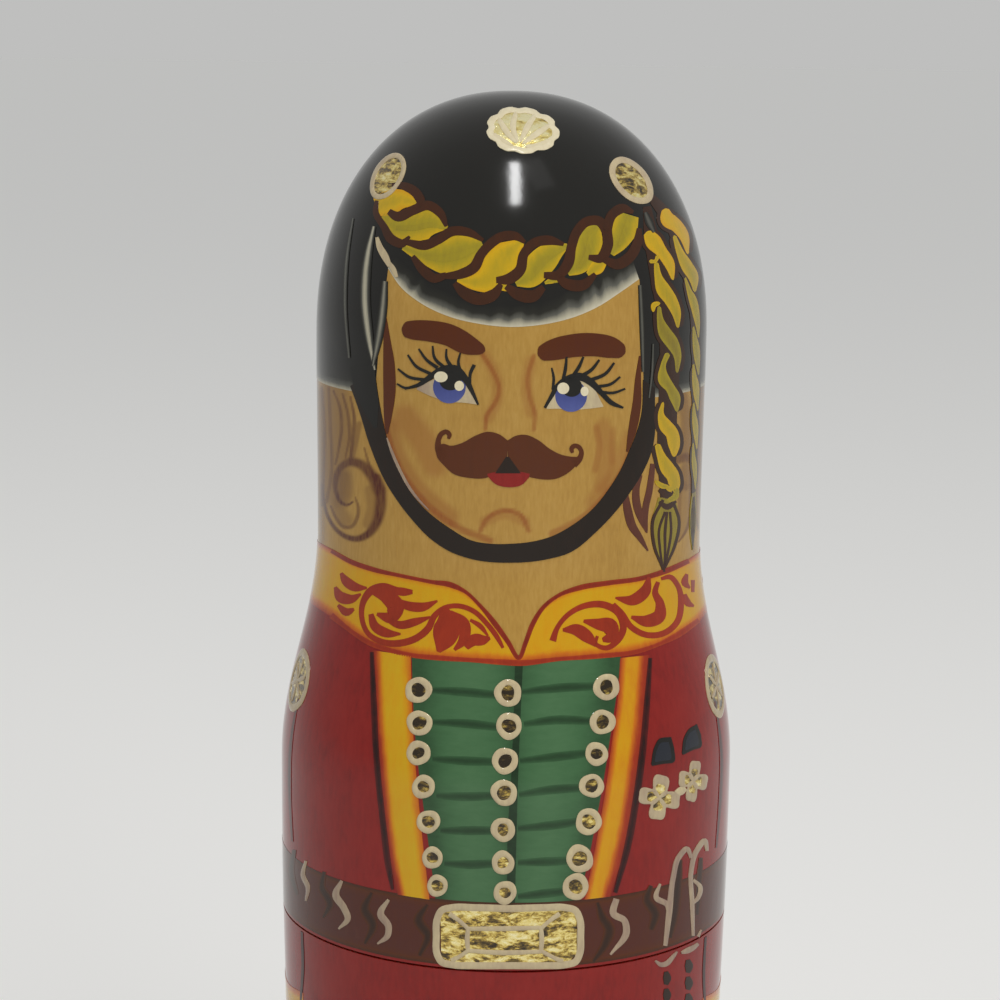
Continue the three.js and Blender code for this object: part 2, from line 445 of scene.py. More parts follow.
# Braid over the visor: leaves of yellow and olive, edged with brown.
BRAID_LEAVES = [
    ([(376, 207), (386, 203), (400, 199), (418, 203)], [15, 19, 16, 3], 0.60),
    ([(382, 215), (394, 225), (412, 225), (430, 222), (447, 227)], [8, 22, 25, 24, 3], 0.70),
    ([(402, 247), (424, 255), (446, 256), (466, 250), (482, 243)], [4, 14, 29, 28, 6], 0.73),
    ([(457, 279), (474, 282), (490, 277), (503, 260), (522, 241)], [4, 13, 26, 29, 5], 0.62),
    ([(516, 284), (529, 277), (539, 265), (552, 253), (568, 245)], [4, 18, 22, 18, 3], 0.72),
    ([(568, 273), (579, 265), (587, 250), (590, 237), (598, 224)], [5, 15, 23, 25, 6], 0.74),
    ([(612, 254), (619, 243), (624, 230), (629, 214)], [5, 14, 21, 17], 0.74),
    ([(497, 289), (504, 287), (513, 292)], [3, 6, 2], 0.62),
    ([(545, 283), (553, 280), (562, 279)], [2, 5, 2], 0.70),
    ([(588, 274), (598, 267), (607, 260)], [3, 11, 3], 0.66),
]
BRAID_EDGES = [
    ([(391, 184), (405, 186), (416, 193), (420, 203), (413, 208)], [3, 7, 8, 7, 3]),
    ([(388, 211), (396, 216), (412, 210), (428, 205), (440, 213), (446, 226)], [5, 8, 8, 8, 7, 3]),
    ([(376, 200), (375, 212), (383, 226), (391, 239), (402, 243), (409, 236)], [3, 5, 6, 8, 7, 2]),
    ([(407, 242), (424, 245), (438, 239), (452, 231), (468, 232), (483, 240)], [5, 8, 8, 8, 7, 3]),
    ([(412, 256), (422, 269), (434, 278), (446, 275)], [4, 8, 8, 5]),
    ([(445, 276), (460, 274), (474, 267), (481, 254), (490, 244), (503, 236), (516, 236), (525, 242)],
     [5, 8, 9, 8, 8, 8, 7, 3]),
    ([(454, 283), (463, 292), (478, 299), (494, 294), (501, 284)], [4, 9, 10, 9, 4]),
    ([(496, 280), (508, 279), (520, 270), (524, 254), (534, 243), (549, 240), (564, 244)],
     [5, 9, 9, 8, 8, 8, 3]),
    ([(506, 286), (518, 294), (533, 296), (544, 287)], [5, 10, 10, 5]),
    ([(544, 275), (558, 275), (568, 264), (572, 246), (577, 232), (588, 221), (600, 221), (606, 231),
      (605, 243)], [5, 8, 9, 8, 8, 8, 8, 7, 3]),
    ([(556, 275), (568, 284), (583, 285), (596, 274)], [4, 9, 9, 4]),
    ([(589, 257), (601, 258), (608, 246), (608, 228), (613, 214), (623, 208), (634, 212)],
     [4, 8, 9, 8, 8, 8, 3]),
    ([(604, 259), (618, 264), (631, 256), (638, 243), (640, 228)], [5, 9, 9, 8, 4]),
]
LEAF_FULLNESS, EDGE_FULLNESS, VEIN_WIDTH = 1.28, 1.2, 0.22  # shares of the traced widths
VEIN_SHIFT = (1, 2.5)  # pixels from a leaf's middle to its vein
OLIVE = 0.67  # leaves with a shade above this are olive, and veined
leaves = [(path, np.asarray(width) * LEAF_FULLNESS, tone - 0.06) for path, width, tone in BRAID_LEAVES]
marks("top", "yellow", leaves, TRIM, across=9, belly=0.16)
veins = [
    (np.add(path, VEIN_SHIFT)[1:], np.asarray(width)[1:] * VEIN_WIDTH, 0.82)
    for path, width, tone in BRAID_LEAVES if tone > OLIVE
]
marks("top", "yellow", veins, LINE, across=5)
edges = [(path, np.asarray(width) * EDGE_FULLNESS) for path, width in BRAID_EDGES]
marks("top", "brown", edges, DETAIL, shade=0.35)

# Rosette and roundels of the hat, and roundels of the shoulders: gold leaf in raised cream rings.
ROSETTE = (522.5, 129.5)
SHELL = {"tilt": 5, "lobes": 9, "depth": 0.04, "seed": 3}
leaf = ring(ROSETTE, (33, 21), (0.6, 0.4), count=54, across=9, wobble=0.04, **SHELL)
lay("top", "gold", on_doll(leaf), TRIM, shade=1.0, ringed=True, hub=True)
edge = ring(ROSETTE, (36, 23), (29, 17.5), count=72, across=7, wobble=0.03, **SHELL)
lay("top", "cream", on_doll(edge), RAISED, shade=0.8, relief=0.09, ringed=True)
ROSETTE_FOLDS = [
    ([(517, 143), (506, 130), (498, 117)], [2.5, 6, 4]),
    ([(518, 142), (513, 126), (516, 111)], [2.5, 6, 4]),
    ([(520, 142), (527, 127), (536, 113)], [2.5, 6, 4]),
    ([(522, 143), (537, 133), (550, 124)], [2.5, 6, 4]),
    ([(513, 145), (501, 139), (492, 133)], [2.5, 5, 4]),
    ([(525, 146), (540, 144), (552, 138)], [2.5, 5, 3]),
]
marks("top", "cream", ROSETTE_FOLDS, RAISED, shade=0.7, relief=0.08, ends=(3, 3), fine=True)
ROUNDELS = [((387, 175.5), (26, 14.5), 5.5, -60, 5), ((632, 180), (28, 16.5), 7, 50, 6)]
for centre, size, band, tilt, seed in ROUNDELS:
    lay("top", "gold", on_doll(dot(centre, (size[0] - 2, size[1] - 2), tilt, count=22, across=9)), TRIM,
        shade=0.64)
    inside = (size[0] - band, size[1] - 0.75 * band)
    edge = ring(centre, size, inside, tilt, count=48, across=7, wobble=0.02, seed=seed)
    lay("top", "cream", on_doll(edge), RAISED, shade=0.35, relief=0.09, ringed=True)
SHOULDER = (73, 100.7)
SHOULDER_RAYS = (20, 80, 140, 200, 260, 320)
for side in (-1, 1):
    centre = flat((side * SHOULDER[0], SHOULDER[1]))
    lay("top", "gold", unrolled(dot(centre, (4.1, 3.9), count=20, across=9)), TRIM, shade=0.6)
    edge = ring(centre, (4.4, 4.2), (3.4, 3.2), count=48, across=7, wobble=0.03, seed=9)
    lay("top", "cream", unrolled(edge), RAISED, shade=0.3, relief=0.1, ringed=True)
    for path in spokes(centre, 3.0, SHOULDER_RAYS):
        grid = brush_mark(path, [0.3, 0.7, 0.4], step=0.3, across=5)
        lay("top", "cream", unrolled(grid), RAISED, shade=0.25, relief=0.08, fine=True)

# Face: unpainted linden with rust-red glazes, under the hat's edge and the chin strap: blush on the cheeks,
# and painted shade beside the nose, chin and jaw lines and over the eyes.
FACE_TOP = [(380, 258), (420, 294), (465, 314), (512, 321), (560, 314), (605, 296), (646, 266)]
FACE_FOOT = [(366, 420), (398, 492), (450, 540), (512, 553), (566, 546), (616, 505), (652, 425)]
FACE_GLAZE = [
    ([(481, 353), (492, 370), (499, 391), (494, 405), (487, 415), (485, 429)], 3.4, 0.6),
    ([(485, 356), (496, 378), (497, 400), (488, 418)], 9, 0.3),
    ([(534, 356), (528, 377), (530, 398), (535, 414), (534, 430)], 3.4, 0.5),
    ([(531, 362), (527, 384), (531, 412)], 9, 0.28),
    ([(480, 531), (486, 520), (496, 513), (508, 511), (520, 515), (529, 531)], 3.6, 0.6),
    ([(484, 522), (506, 514), (525, 522)], 8, 0.28),
    ([(384, 425), (392, 452), (407, 482), (430, 508), (460, 529), (490, 541)], 5, 0.6),
    ([(386, 428), (398, 462), (420, 494), (448, 518)], 15, 0.4),
    ([(637, 432), (625, 468), (606, 496), (580, 520), (552, 534)], 5, 0.5),
    ([(632, 440), (618, 476), (596, 502)], 14, 0.3),
    ([(597, 428), (600, 446), (596, 470)], 5, 0.4),
    ([(604, 426), (609, 450), (602, 486)], 11, 0.3),
    ([(614, 430), (613, 462)], 5, 0.25),
    ([(404, 418), (424, 444), (434, 464)], 20, 0.38),
    ([(420, 362), (446, 354), (466, 360)], 12, 0.15),
    ([(560, 366), (585, 360), (610, 368)], 12, 0.15),
]
grid = spread(FACE_TOP, FACE_FOOT, step=2.4)
lay("top", "linden", on_doll(grid), GLAZE, shade=soft_strokes(grid, FACE_GLAZE))

# Hair: thin brown glazes at both sides, and the same strands round the back of the neck.
LEFT_HAIR = [
    ([(320, 388), (323, 430), (322, 470), (320, 505)], 2.4, 0.5),
    ([(327, 388), (329, 430), (330, 470), (325, 502)], 2.4, 0.5),
    ([(332, 391), (338, 406), (340, 426), (337, 450), (334, 464)], (1.6, 2.6, 2.4, 1.6), 0.65),
    ([(341, 394), (346, 412), (348, 436), (344, 458)], (1.6, 2.6, 1.6), 0.6),
    ([(349, 397), (353, 420), (351, 440), (349, 460)], (1.6, 3, 2.4), 0.7),
    ([(358, 424), (355, 440), (351, 456)], 4, 0.45),
    ([(363, 448), (367, 462), (372, 476)], (1.4, 2.2, 2.6), 0.6),
    ([(332, 392), (335, 440), (331, 490)], 25, 0.42), ([(317, 394), (318, 460), (318, 540)], 8, 0.4),
    ([(351, 502), (347, 505), (340, 503), (335, 494), (334, 480), (339, 468), (349, 462), (360, 465),
      (370, 475), (378, 490)], (1.6, 2.6, 3.4, 4.2, 5, 6.4, 7.4, 8.4, 9), 0.9),
    ([(376, 478), (379, 492), (379, 508), (375, 523), (367, 534), (356, 539), (345, 537), (335, 530),
      (327, 518), (322, 500), (320, 484)], (6, 8.6, 8.6, 7.6, 6, 4.6, 3.6, 3, 2.6, 2.2, 1.4), 0.93),
    ([(354, 498), (357, 508), (355, 520), (350, 527), (342, 527), (335, 519), (329, 506)],
     (1.4, 2.4, 3, 2.8, 2.6, 2.4, 1.6), 0.62),
    ([(343, 478), (344, 492), (338, 512), (344, 520)], 11, 0.34),
    ([(368, 490), (370, 508), (366, 524)], 7, 0.35),
]
RIGHT_HAIR = [
    ([(684, 396), (688, 425), (686, 452)], 9, 0.5), ([(694, 398), (695, 428), (693, 456)], 3, 0.5),
    ([(670, 459), (680, 460), (688, 458), (695, 462), (699, 472)], (6, 6, 7, 6, 3), 0.75),
    ([(693, 468), (692, 500), (691, 520), (686, 534), (680, 542)], (3, 2.6, 2.4, 2.4, 1.4), 0.7),
    ([(691, 518), (694, 538), (697, 553)], (2.4, 2.4, 1.4), 0.6), ([(687, 468), (687, 486)], 7, 0.5),
    ([(686, 486), (687, 512), (682, 534)], 6, 0.3), ([(681, 476), (681, 510), (679, 536)], 3, 0.5),
]
LEFT_PATCH = (
    [(315, 372), (335, 380), (354, 384), (386, 392)], [(317, 543), (336, 551), (360, 558), (396, 558)],
)
RIGHT_PATCH = (
    [(632, 398), (655, 392), (680, 386), (699, 380)], [(618, 562), (645, 566), (675, 560), (696, 552)],
)
for edges, strokes in ((LEFT_PATCH, LEFT_HAIR), (RIGHT_PATCH, RIGHT_HAIR)):
    grid = spread(*edges, step=1.4)
    lay("top", "linden", on_doll(grid), GLAZE - 0.005, shade=0.0, hair=soft_strokes(grid, strokes))
BACK_HAIR = [(flat([(70, 135), (180, 135), (286, 135)]), 13.5, 0.45)]
LOCKS = np.arange(74.0, 286.0, 8.5)  # degrees
for i, at in enumerate(LOCKS):
    tip = 121.6 + 1.4 * (i % 3)
    lock = [(at, 141.5), (at + 3, 134), (at - 2, 128), (at + 2, tip + 1.5)]
    BACK_HAIR.append((flat(lock), 2.3, 0.36))
    for off in (-2.6, 1.6):
        strand = [(at + off, HAT_BACK + 1), (at + off + 3, 134), (at + off - 2.4, 128),
                  (at + 0.4 * off + 1, tip + 1), (at + 5, tip)]
        BACK_HAIR.append((flat(strand), 0.5, 0.66))
upper, lower = (flat([(68, level), (180, level), (288, level)]) for level in (HAT_BACK + 0.5, 120.2))
grid = spread(upper, lower, step=0.52)
lay("top", "linden", unrolled(grid), GLAZE - 0.01, shade=0.0, hair=soft_strokes(grid, BACK_HAIR))

# Chin strap, sideburns, brows, moustache and mouth.
STRAP_OUTER = [
    (349, 386), (355, 402), (361, 420), (367, 440), (374.5, 460), (383.5, 480), (396, 500), (411.5, 520),
    (430, 539), (450, 552), (470, 559), (512, 563), (545, 560), (570, 553), (598, 531), (617, 511),
    (632, 491), (645, 470), (653, 450), (656, 432), (656, 410), (656, 388),
]
STRAP_INNER = [
    (374, 372), (378, 400), (383, 426), (389, 449), (397.5, 470), (408, 490), (425, 510), (437, 520),
    (450, 529), (472, 541), (490, 544), (512, 544), (532, 542), (551, 537), (572, 526), (592.5, 510),
    (609, 490), (621.5, 470), (630.5, 450), (637, 434), (642, 416), (644, 380),
]
lay("top", "brown", on_doll(spread(STRAP_OUTER, STRAP_INNER, step=3.0, across=7)), TRIM, shade=0.0)
STRAP_LIGHT = (
    [(386, 438), (391, 452), (399, 470), (409.5, 489), (418, 500), (428, 510)], [1, 2.4, 2.6, 2.6, 2, 1],
)
STRAP_ROOT = ([(361, 366), (364, 384), (369, 404), (375, 428)], [25, 23, 18, 3])
marks("top", "cream", [STRAP_LIGHT], LINE, shade=0.05)
marks("top", "black", [STRAP_ROOT], LINE, shade=0.0)
SIDEBURNS = [
    ([(384, 314), (386, 340), (388, 365), (388.5, 392), (387, 416), (386, 434)], [2, 7, 11.5, 12, 8, 2]),
    ([(641, 356), (639, 380), (638, 402), (635, 422), (631, 440), (628, 452)], [2, 6, 8.5, 9, 6, 2]),
]
marks("top", "brown", SIDEBURNS, BELT, shade=0.62)
RIGHT_LOCKS = [
    ([(626, 494), (629, 512), (633, 526), (641, 538), (649, 551)], [6, 8.5, 8.5, 6, 1.6]),
    ([(641, 475), (637, 490), (638, 506), (643, 520), (648, 533)], [5, 7, 8, 7, 1.6]),
    ([(654, 464), (652, 480), (650, 493), (647, 506), (646, 518), (648, 531)], [5, 6, 6.5, 6.5, 6, 1.6]),
]
marks("top", "brown", RIGHT_LOCKS, BELT, shade=0.86, step=1.6)
BROWS = [
    ([(401, 329), (412, 330), (428, 331), (448, 335), (468, 345), (485, 351)], [14, 19, 21, 22, 20, 8]),
    ([(538, 355), (550, 351), (572, 346), (596, 345), (613, 348), (626, 353)], [13, 20, 23, 23, 21, 12]),
]
marks("top", "brown", BROWS, TRIM, shade=0.64, across=7, ends=(5, 5), step=1.6)
LIP_LEFT = (
    [(508, 441), (500, 435), (488, 432), (475, 436), (462, 443), (450, 446), (442, 444), (437, 446)],
    [(507, 460), (499, 469), (489, 477), (468, 478), (453, 474), (443, 465), (437, 458), (435, 451)],
)
LIP_RIGHT = (
    [(507, 441), (516, 436), (525, 435), (538, 440), (550, 449), (562, 455), (573, 457), (581, 457)],
    [(508, 460), (515, 468), (524, 475), (538, 479), (556, 479), (570, 472), (578, 464), (582, 459)],
)
for edges in (LIP_LEFT, LIP_RIGHT):
    lay("top", "brown", on_doll(spread(*edges, step=2.5, across=13)), TRIM, shade=0.6)
CURLS = [
    ([(444, 459), (438, 449), (438, 440), (441, 434), (446, 432), (449, 435), (448, 439)],
     [9, 7, 5, 5, 4.5, 4.5, 3]),
    ([(574, 464), (580, 459), (582, 452), (579, 447), (575, 446), (572, 449), (573, 453)],
     [9, 6, 4.5, 4.5, 4.5, 4.5, 3]),
]
marks("top", "brown", CURLS, TRIM, shade=0.6, step=1.4)
MOUTH = (
    [(487, 474), (497, 472), (520, 472), (530, 474)],
    [(488, 477), (495, 484), (509, 487.5), (522, 485), (529, 478)],
)
lay("top", "red", on_doll(spread(*MOUTH, step=2.5, across=7)), LINE, shade=0.5)
LIP_SHADE = ([(506, 457), (509, 457)], [(495, 473.5), (521, 473.5)])
lay("top", "brown", on_doll(spread(*LIP_SHADE, step=2.5, across=9)), DETAIL, shade=0.05)

# Eyes: pale ground, blue iris, black pupil and lid, white lights, then the lashes.
EYE_WHITES = [
    ([(416, 388.4), (430, 381), (450, 373), (466, 386), (478, 403.4)],
     [(416, 389.6), (432, 397), (449, 402), (465, 403), (478, 405)]),
    ([(547, 408), (558, 387), (572, 379), (590, 384), (604, 406)],
     [(547, 409), (560, 409), (572, 410), (588, 409), (604, 407)]),
]
IRISES = [((449, 387), 16.5), ((571.5, 396), 16)]
PUPILS = [((450, 381), (9.5, 11)), ((572, 387), (10, 10.5))]
EYE_LIGHTS = [
    ((440.5, 377), (6.8, 5.4)), ((459, 386), (4.8, 5)), ((563.5, 388.5), (6, 5.8)),
    ((585, 391.5), (4, 4.8)),
]
EYELIDS = [
    ([(404, 389), (418, 385), (430, 377), (443, 370), (455, 370), (464, 378), (472, 392), (478, 405)],
     [2, 4, 6, 8, 9, 7, 4, 2]),
    ([(545, 408), (552, 396), (558, 386), (567, 380), (581, 377), (592, 383), (603, 394), (612, 402),
      (624, 408)], [2.5, 4, 5, 7, 8, 7, 5, 3.5, 2]),
]
EYELASHES = [
    ([(396, 384), (404, 388), (418, 385)], [2, 3, 4]), ([(397, 369), (408, 377), (424, 380)], [2, 3.4, 4]),
    ([(407, 355), (415, 366), (430, 374)], [2, 3.4, 4]),
    ([(418, 349), (426, 360), (437, 368)], [2, 3.4, 4.5]),
    ([(432, 346), (434, 358), (444, 368)], [2, 3.4, 4.5]),
    ([(446, 349), (446, 358), (451, 367)], [2, 3.4, 4.5]),
    ([(460, 353), (458, 362), (460, 372)], [2, 3.4, 4]),
    ([(474, 365), (470, 374), (470, 385)], [4.5, 4, 2.5]),
    ([(552, 368), (554, 378), (553, 390)], [2, 3.4, 3]),
    ([(567, 357), (566, 368), (563, 382)], [2.5, 4, 4]),
    ([(584, 357), (580, 366), (573, 377)], [2.5, 4, 4.5]),
    ([(600, 360), (592, 370), (580, 377)], [2.5, 4, 4.5]),
    ([(615, 363), (606, 374), (592, 380)], [2.5, 4, 4.5]),
    ([(621, 377), (612, 384), (597, 387)], [2.2, 3.4, 4]),
    ([(626, 389), (614, 393), (600, 392)], [2.2, 3.4, 4]),
    ([(623, 408), (612, 404), (602, 394)], [2, 3.4, 4.5]),
]
for edges, tones in zip(EYE_WHITES, ((0.1, 0.3, 0.4), (0.4, 0.4, 0.42))):
    grid = spread(*edges, step=2.4, across=7)
    tone = np.interp(np.linspace(0, 1, len(grid)), [0, 0.4, 1], tones)
    lay("top", "cream", on_doll(grid), BELT, shade=tone[:, None])
for (centre, size), (pupil, reach) in zip(IRISES, PUPILS):
    grid = dot(centre, size, tilt=90, count=22, across=13)
    lay("top", "blue", on_doll(grid), TRIM, shade=0.3 + 0.35 * np.linspace(0, 1, 22)[:, None])
    lay("top", "black", on_doll(dot(pupil, reach, tilt=90, count=18, across=9)), LINE, shade=0.0)
marks("top", "black", EYELIDS, LINE, shade=0.0, step=1.4)
LASH_WIDTH = 0.8  # share of the traced widths
lashes = [(path, np.asarray(width) * LASH_WIDTH) for path, width in EYELASHES]
marks("top", "black", lashes, LINE, shade=0.0, step=1.4, fine=True)
for centre, size in EYE_LIGHTS:
    lay("top", "cream", on_doll(dot(centre, size, count=16, across=9)), DETAIL, shade=0.85)

# Cords that hang from the right roundel: brown twists with yellow leaves, and a tassel. The far cord,
# which mostly lies out of sight, is laid out in degrees and heights.
CORD_GROUND = [
    ([(648, 206), (652, 235), (660, 275), (668, 315), (671, 360), (669, 405), (668, 450), (669, 498)],
     [8, 14, 18, 20, 20, 19, 19, 15]),
]
FAR_GROUND = [
    ([(53, 166.6), (60, 163), (63.5, 157.5), (66, 152), (67.5, 146), (68.5, 140), (69, 133), (69.4, 126)],
     [2, 4.2, 4.4, 4, 3.8, 3.4, 3, 1.8]),
]
CORD_LEAVES = [
    ([(648, 231), (654, 241), (662, 251), (670, 263), (674, 280)], [8, 15, 11, 10, 2], 0.58),
    ([(650, 261), (656, 261), (659, 255)], [4, 3, 4], 0.62),
    ([(657, 262), (659, 276), (664, 289), (671, 299), (677, 312), (679, 328)], [4, 7, 13, 12, 9, 2], 0.66),
    ([(654, 312), (655, 305), (661, 303)], [2, 5, 3], 0.60),
    ([(660, 306), (661, 319), (666, 333), (673, 343), (678, 354), (678, 373)], [3, 6, 12, 12, 8, 2], 0.80),
    ([(669, 353), (664, 366), (665, 380), (671, 388), (676, 398), (678, 412)], [5, 5, 11, 9, 10, 2], 0.76),
    ([(664, 402), (662, 415), (666, 425), (673, 434), (675, 445), (675, 457)], [2, 6, 12, 12, 11, 3], 0.62),
    ([(658, 444), (662, 456), (668, 468), (674, 477), (674, 488), (667, 489)], [5, 8, 13, 12, 9, 3], 0.64),
    ([(656, 481), (663, 486), (670, 487)], [3, 5, 3], 0.66),
    ([(678, 488), (676, 497), (668, 501)], [4, 6, 3], 0.74),
    ([(666, 208), (669, 219), (677, 225), (684, 234), (689, 254)], [6, 14, 12, 10, 2], 0.56),
    ([(675, 235), (681, 252), (688, 266), (694, 276), (696, 292)], [3, 7, 11, 10, 2], 0.66),
]
FAR_LEAVES = [
    ([(60.9, 156.1), (63, 154), (66.4, 152), (68.2, 150.2), (69, 148)], [0.6, 1.7, 2.8, 2.3, 0.5], 0.72),
    ([(64.4, 149.6), (66, 147.5), (68.5, 145.5), (70.2, 143)], [0.6, 2, 2.6, 0.6], 0.74),
    ([(65, 144.6), (66.5, 142.4), (69, 140.6), (70.8, 138.2)], [0.6, 2, 2.6, 0.6], 0.70),
    ([(66.2, 139.4), (67.4, 137.2), (69.6, 135.4), (71, 133)], [0.6, 1.9, 2.4, 0.6], 0.72),
    ([(67, 134), (68, 131.8), (70, 130), (71, 127.6)], [0.5, 1.7, 2, 0.5], 0.74),
    ([(69.4, 127.2), (69.6, 124.6), (69.8, 121.8), (69.9, 119.4)], [1.8, 3.2, 2.7, 0.5], 0.88),
]
FAR_THREADS = [
    ([(69.4 + 0.4 * k, 126.6), (69.6 + 1.5 * k, 123.6), (69.9, 119.4)], [0.3, 0.35, 0.25])
    for k in (-1.5, -0.7, 0, 0.7, 1.5)
]
marks("top", "brown", CORD_GROUND, TRIM, shade=0.25, across=7)
marks("top", "brown", FAR_GROUND, TRIM, shade=0.25, across=7, place=unrolled, step=0.5)
TWIST_EDGE, FAR_TWIST_EDGE = 8.5, 1.5  # how much wider a twist is than its leaf, in pixels and in mm
twists = [(path, np.asarray(width) + TWIST_EDGE) for path, width, tone in CORD_LEAVES if len(path) > 3]
marks("top", "brown", twists, TRIM + 0.004, shade=0.25, ends=(4, 4), step=1.6)
twists = [(path, np.asarray(width) + FAR_TWIST_EDGE) for path, width, tone in FAR_LEAVES[:-1]]
marks("top", "brown", twists, TRIM + 0.004, shade=0.25, ends=(0.6, 0.6), place=unrolled, step=0.3)
marks("top", "yellow", FAR_LEAVES, LINE, across=7, place=unrolled, step=0.3, belly=0.1)
marks("top", "brown", FAR_THREADS, DETAIL, shade=0.3, place=unrolled, step=0.4, fine=True)
CORD_FULLNESS = 1.08  # share of the traced widths
cord_leaves = [(path, np.asarray(width) * CORD_FULLNESS, tone) for path, width, tone in CORD_LEAVES]
marks("top", "yellow", cord_leaves, LINE, across=7, ends=(2, 2), step=1.5, belly=0.1)
TASSEL = ([(668, 498), (667, 520), (665, 545), (664, 568)], [17, 27, 22, 3], 0.88)
marks("top", "yellow", [TASSEL], TRIM, across=9)
TASSEL_THREADS = [
    ([(664, 500), (654, 520), (655, 545), (664, 569)], [3, 3, 3, 2]),
    ([(666, 512), (660, 530), (661, 550), (664, 570)], [2.5, 2.5, 2.5, 2]),
    ([(668, 512), (666, 532), (666, 552), (665, 572)], [2.5, 3, 2.5, 2]),
    ([(671, 512), (672, 532), (669, 552), (665, 570)], [2.5, 2.5, 2.5, 2]),
    ([(674, 502), (680, 520), (676, 545), (666, 568)], [3, 3, 3, 2]),
    ([(660, 490), (668, 496), (676, 491)], [3, 6, 3]), ([(660, 502), (668, 507), (677, 501)], [3, 6, 3]),
]
marks("top", "brown", TASSEL_THREADS, LINE, shade=0.3)

# Collar: a yellow band with red edges that dips to a point in front, and red scrolls on it.
COLLAR_TOP = [
    (313, 540), (330, 549), (350, 560), (370, 567), (400, 574), (430, 580), (450, 583), (465, 590),
    (480, 604), (495, 622), (508, 640), (519, 656), (526, 640), (533, 622), (545, 604), (560, 593),
    (580, 586), (610, 581), (640, 577), (670, 568), (690, 559), (701, 552),
]
COLLAR_FOOT = [
    (312, 605), (330, 617), (350, 633), (365, 643), (385, 651), (410, 657), (440, 660), (470, 662),
    (500, 664), (519, 665), (560, 661), (600, 658), (640, 653), (660, 646), (680, 636), (700, 622),
    (708, 612),
]
TOP_EDGE, FOOT_EDGE = 0.75, 1.5  # mm over which the collar's edges redden
collar_top, collar_foot = edge_round(COLLAR_TOP), edge_round(COLLAR_FOOT)
v = np.linspace(0, 1, 19)
deep = (collar_top - collar_foot)[:, None]
rim = np.clip(1 - np.minimum(v * deep / TOP_EDGE, (1 - v) * deep / FOOT_EDGE), 0, 1)
lay("top", "yellow", belt_of(collar_top, collar_foot, rows=19), BELT, shade=0.56 - 0.36 * rim ** 0.8,
    ringed=True)
rng = np.random.default_rng(11)
for edge, breadth, drop, tone in ((COLLAR_TOP[1:-1], 4.5, 2.0, 0.14), (COLLAR_FOOT[1:-1], 5.0, -2.0, 0.22)):
    path = np.array(edge) + [0, drop]
    uneven = breadth * rng.uniform(0.75, 1.25, len(path))
    marks("top", "yellow", [(path, uneven)], TRIM, tone, across=7, belly=-0.06)
SCROLLS = [
    ([(340, 573), (345, 581), (354, 587), (366, 588)], [3, 9, 9, 2]),
    ([(334, 587), (340, 597), (350, 599), (360, 594)], [3, 11, 9, 2]),
    ([(337, 605), (346, 612), (353, 609)], [3, 8, 3]),
    ([(412, 592), (404, 592), (396, 591), (382, 587), (370, 591), (362, 603), (361, 618), (367, 633),
      (382, 642), (400, 643), (416, 638), (428, 628), (434, 616), (444, 608), (458, 606), (473, 611),
      (487, 624), (497, 637), (503, 648)], [4, 8, 8, 8, 8, 6, 5, 5, 6, 7, 7, 7, 6, 5, 5, 5, 5, 5, 3]),
    ([(370, 592), (386, 597), (395, 607), (390, 617), (376, 614)], [3, 14, 17, 13, 3]),
    ([(370, 614), (374, 626), (386, 633), (400, 634)], [5, 9, 9, 2]),
    ([(394, 600), (408, 606), (422, 607), (437, 601)], [5, 9, 9, 2]),
    ([(384, 618), (400, 625), (414, 622), (430, 617)], [4, 8, 8, 2]),
    ([(444, 608), (447, 624), (444, 638), (438, 652)], [6, 25, 24, 4]),
    ([(450, 612), (464, 624), (463, 640), (454, 650)], [4, 11, 10, 3]),
    ([(466, 648), (474, 640), (483, 640), (490, 638)], [5, 12, 10, 3]),
    ([(470, 620), (480, 626), (488, 636)], [3, 5, 2]),
    ([(650, 577), (646, 591), (634, 600), (616, 598)], [3, 11, 11, 2]),
    ([(662, 579), (671, 577), (679, 586), (682, 604), (678, 622), (665, 633), (648, 635), (632, 627),
      (622, 613), (614, 604)], [3, 5, 5, 6, 6, 6, 6, 6, 6, 4]),
    ([(659, 582), (656, 592), (661, 604), (660, 616), (648, 621), (632, 617)], [4, 6, 9, 13, 12, 3]),
    ([(553, 641), (557, 629), (567, 616), (585, 606), (605, 605), (619, 613), (624, 628), (618, 641),
      (606, 648), (596, 643), (598, 636)], [7, 5, 5, 6, 7, 7, 7, 6, 5, 4, 3]),
    ([(584, 621), (598, 624), (611, 627), (611, 637), (603, 640)], [3, 11, 16, 12, 4]),
    ([(563, 630), (577, 630), (588, 637), (597, 646)], [3, 12, 12, 3]),
    ([(688, 574), (686, 583), (691, 588)], [3, 7, 2]), ([(686, 594), (689, 603), (695, 606)], [3, 7, 2]),
    ([(694, 580), (694, 592)], [4, 3]),
]
marks("top", "yellow", SCROLLS, LINE, shade=0.16)
VINE = np.arange(88, 273, 5)  # degrees
VINE_HEIGHT, VINE_SWING = 114.1, 1.4
vine = [(at, VINE_HEIGHT + VINE_SWING * math.sin(math.radians(at * 12))) for at in VINE]
marks("top", "yellow", [(vine, 0.6)], LINE, shade=0.16, place=unrolled, step=0.5)
for i, at in enumerate(range(98, 268, 15)):
    side = -1 if i % 2 else 1
    leaf = [(at + along, VINE_HEIGHT - off * side) for along, off in ((-5.5, 2.3), (-1, 0.6), (5, 2.2))]
    marks("top", "yellow", [(leaf, [0.3, 1.8, 0.3])], LINE, shade=0.16, place=unrolled, step=0.35)

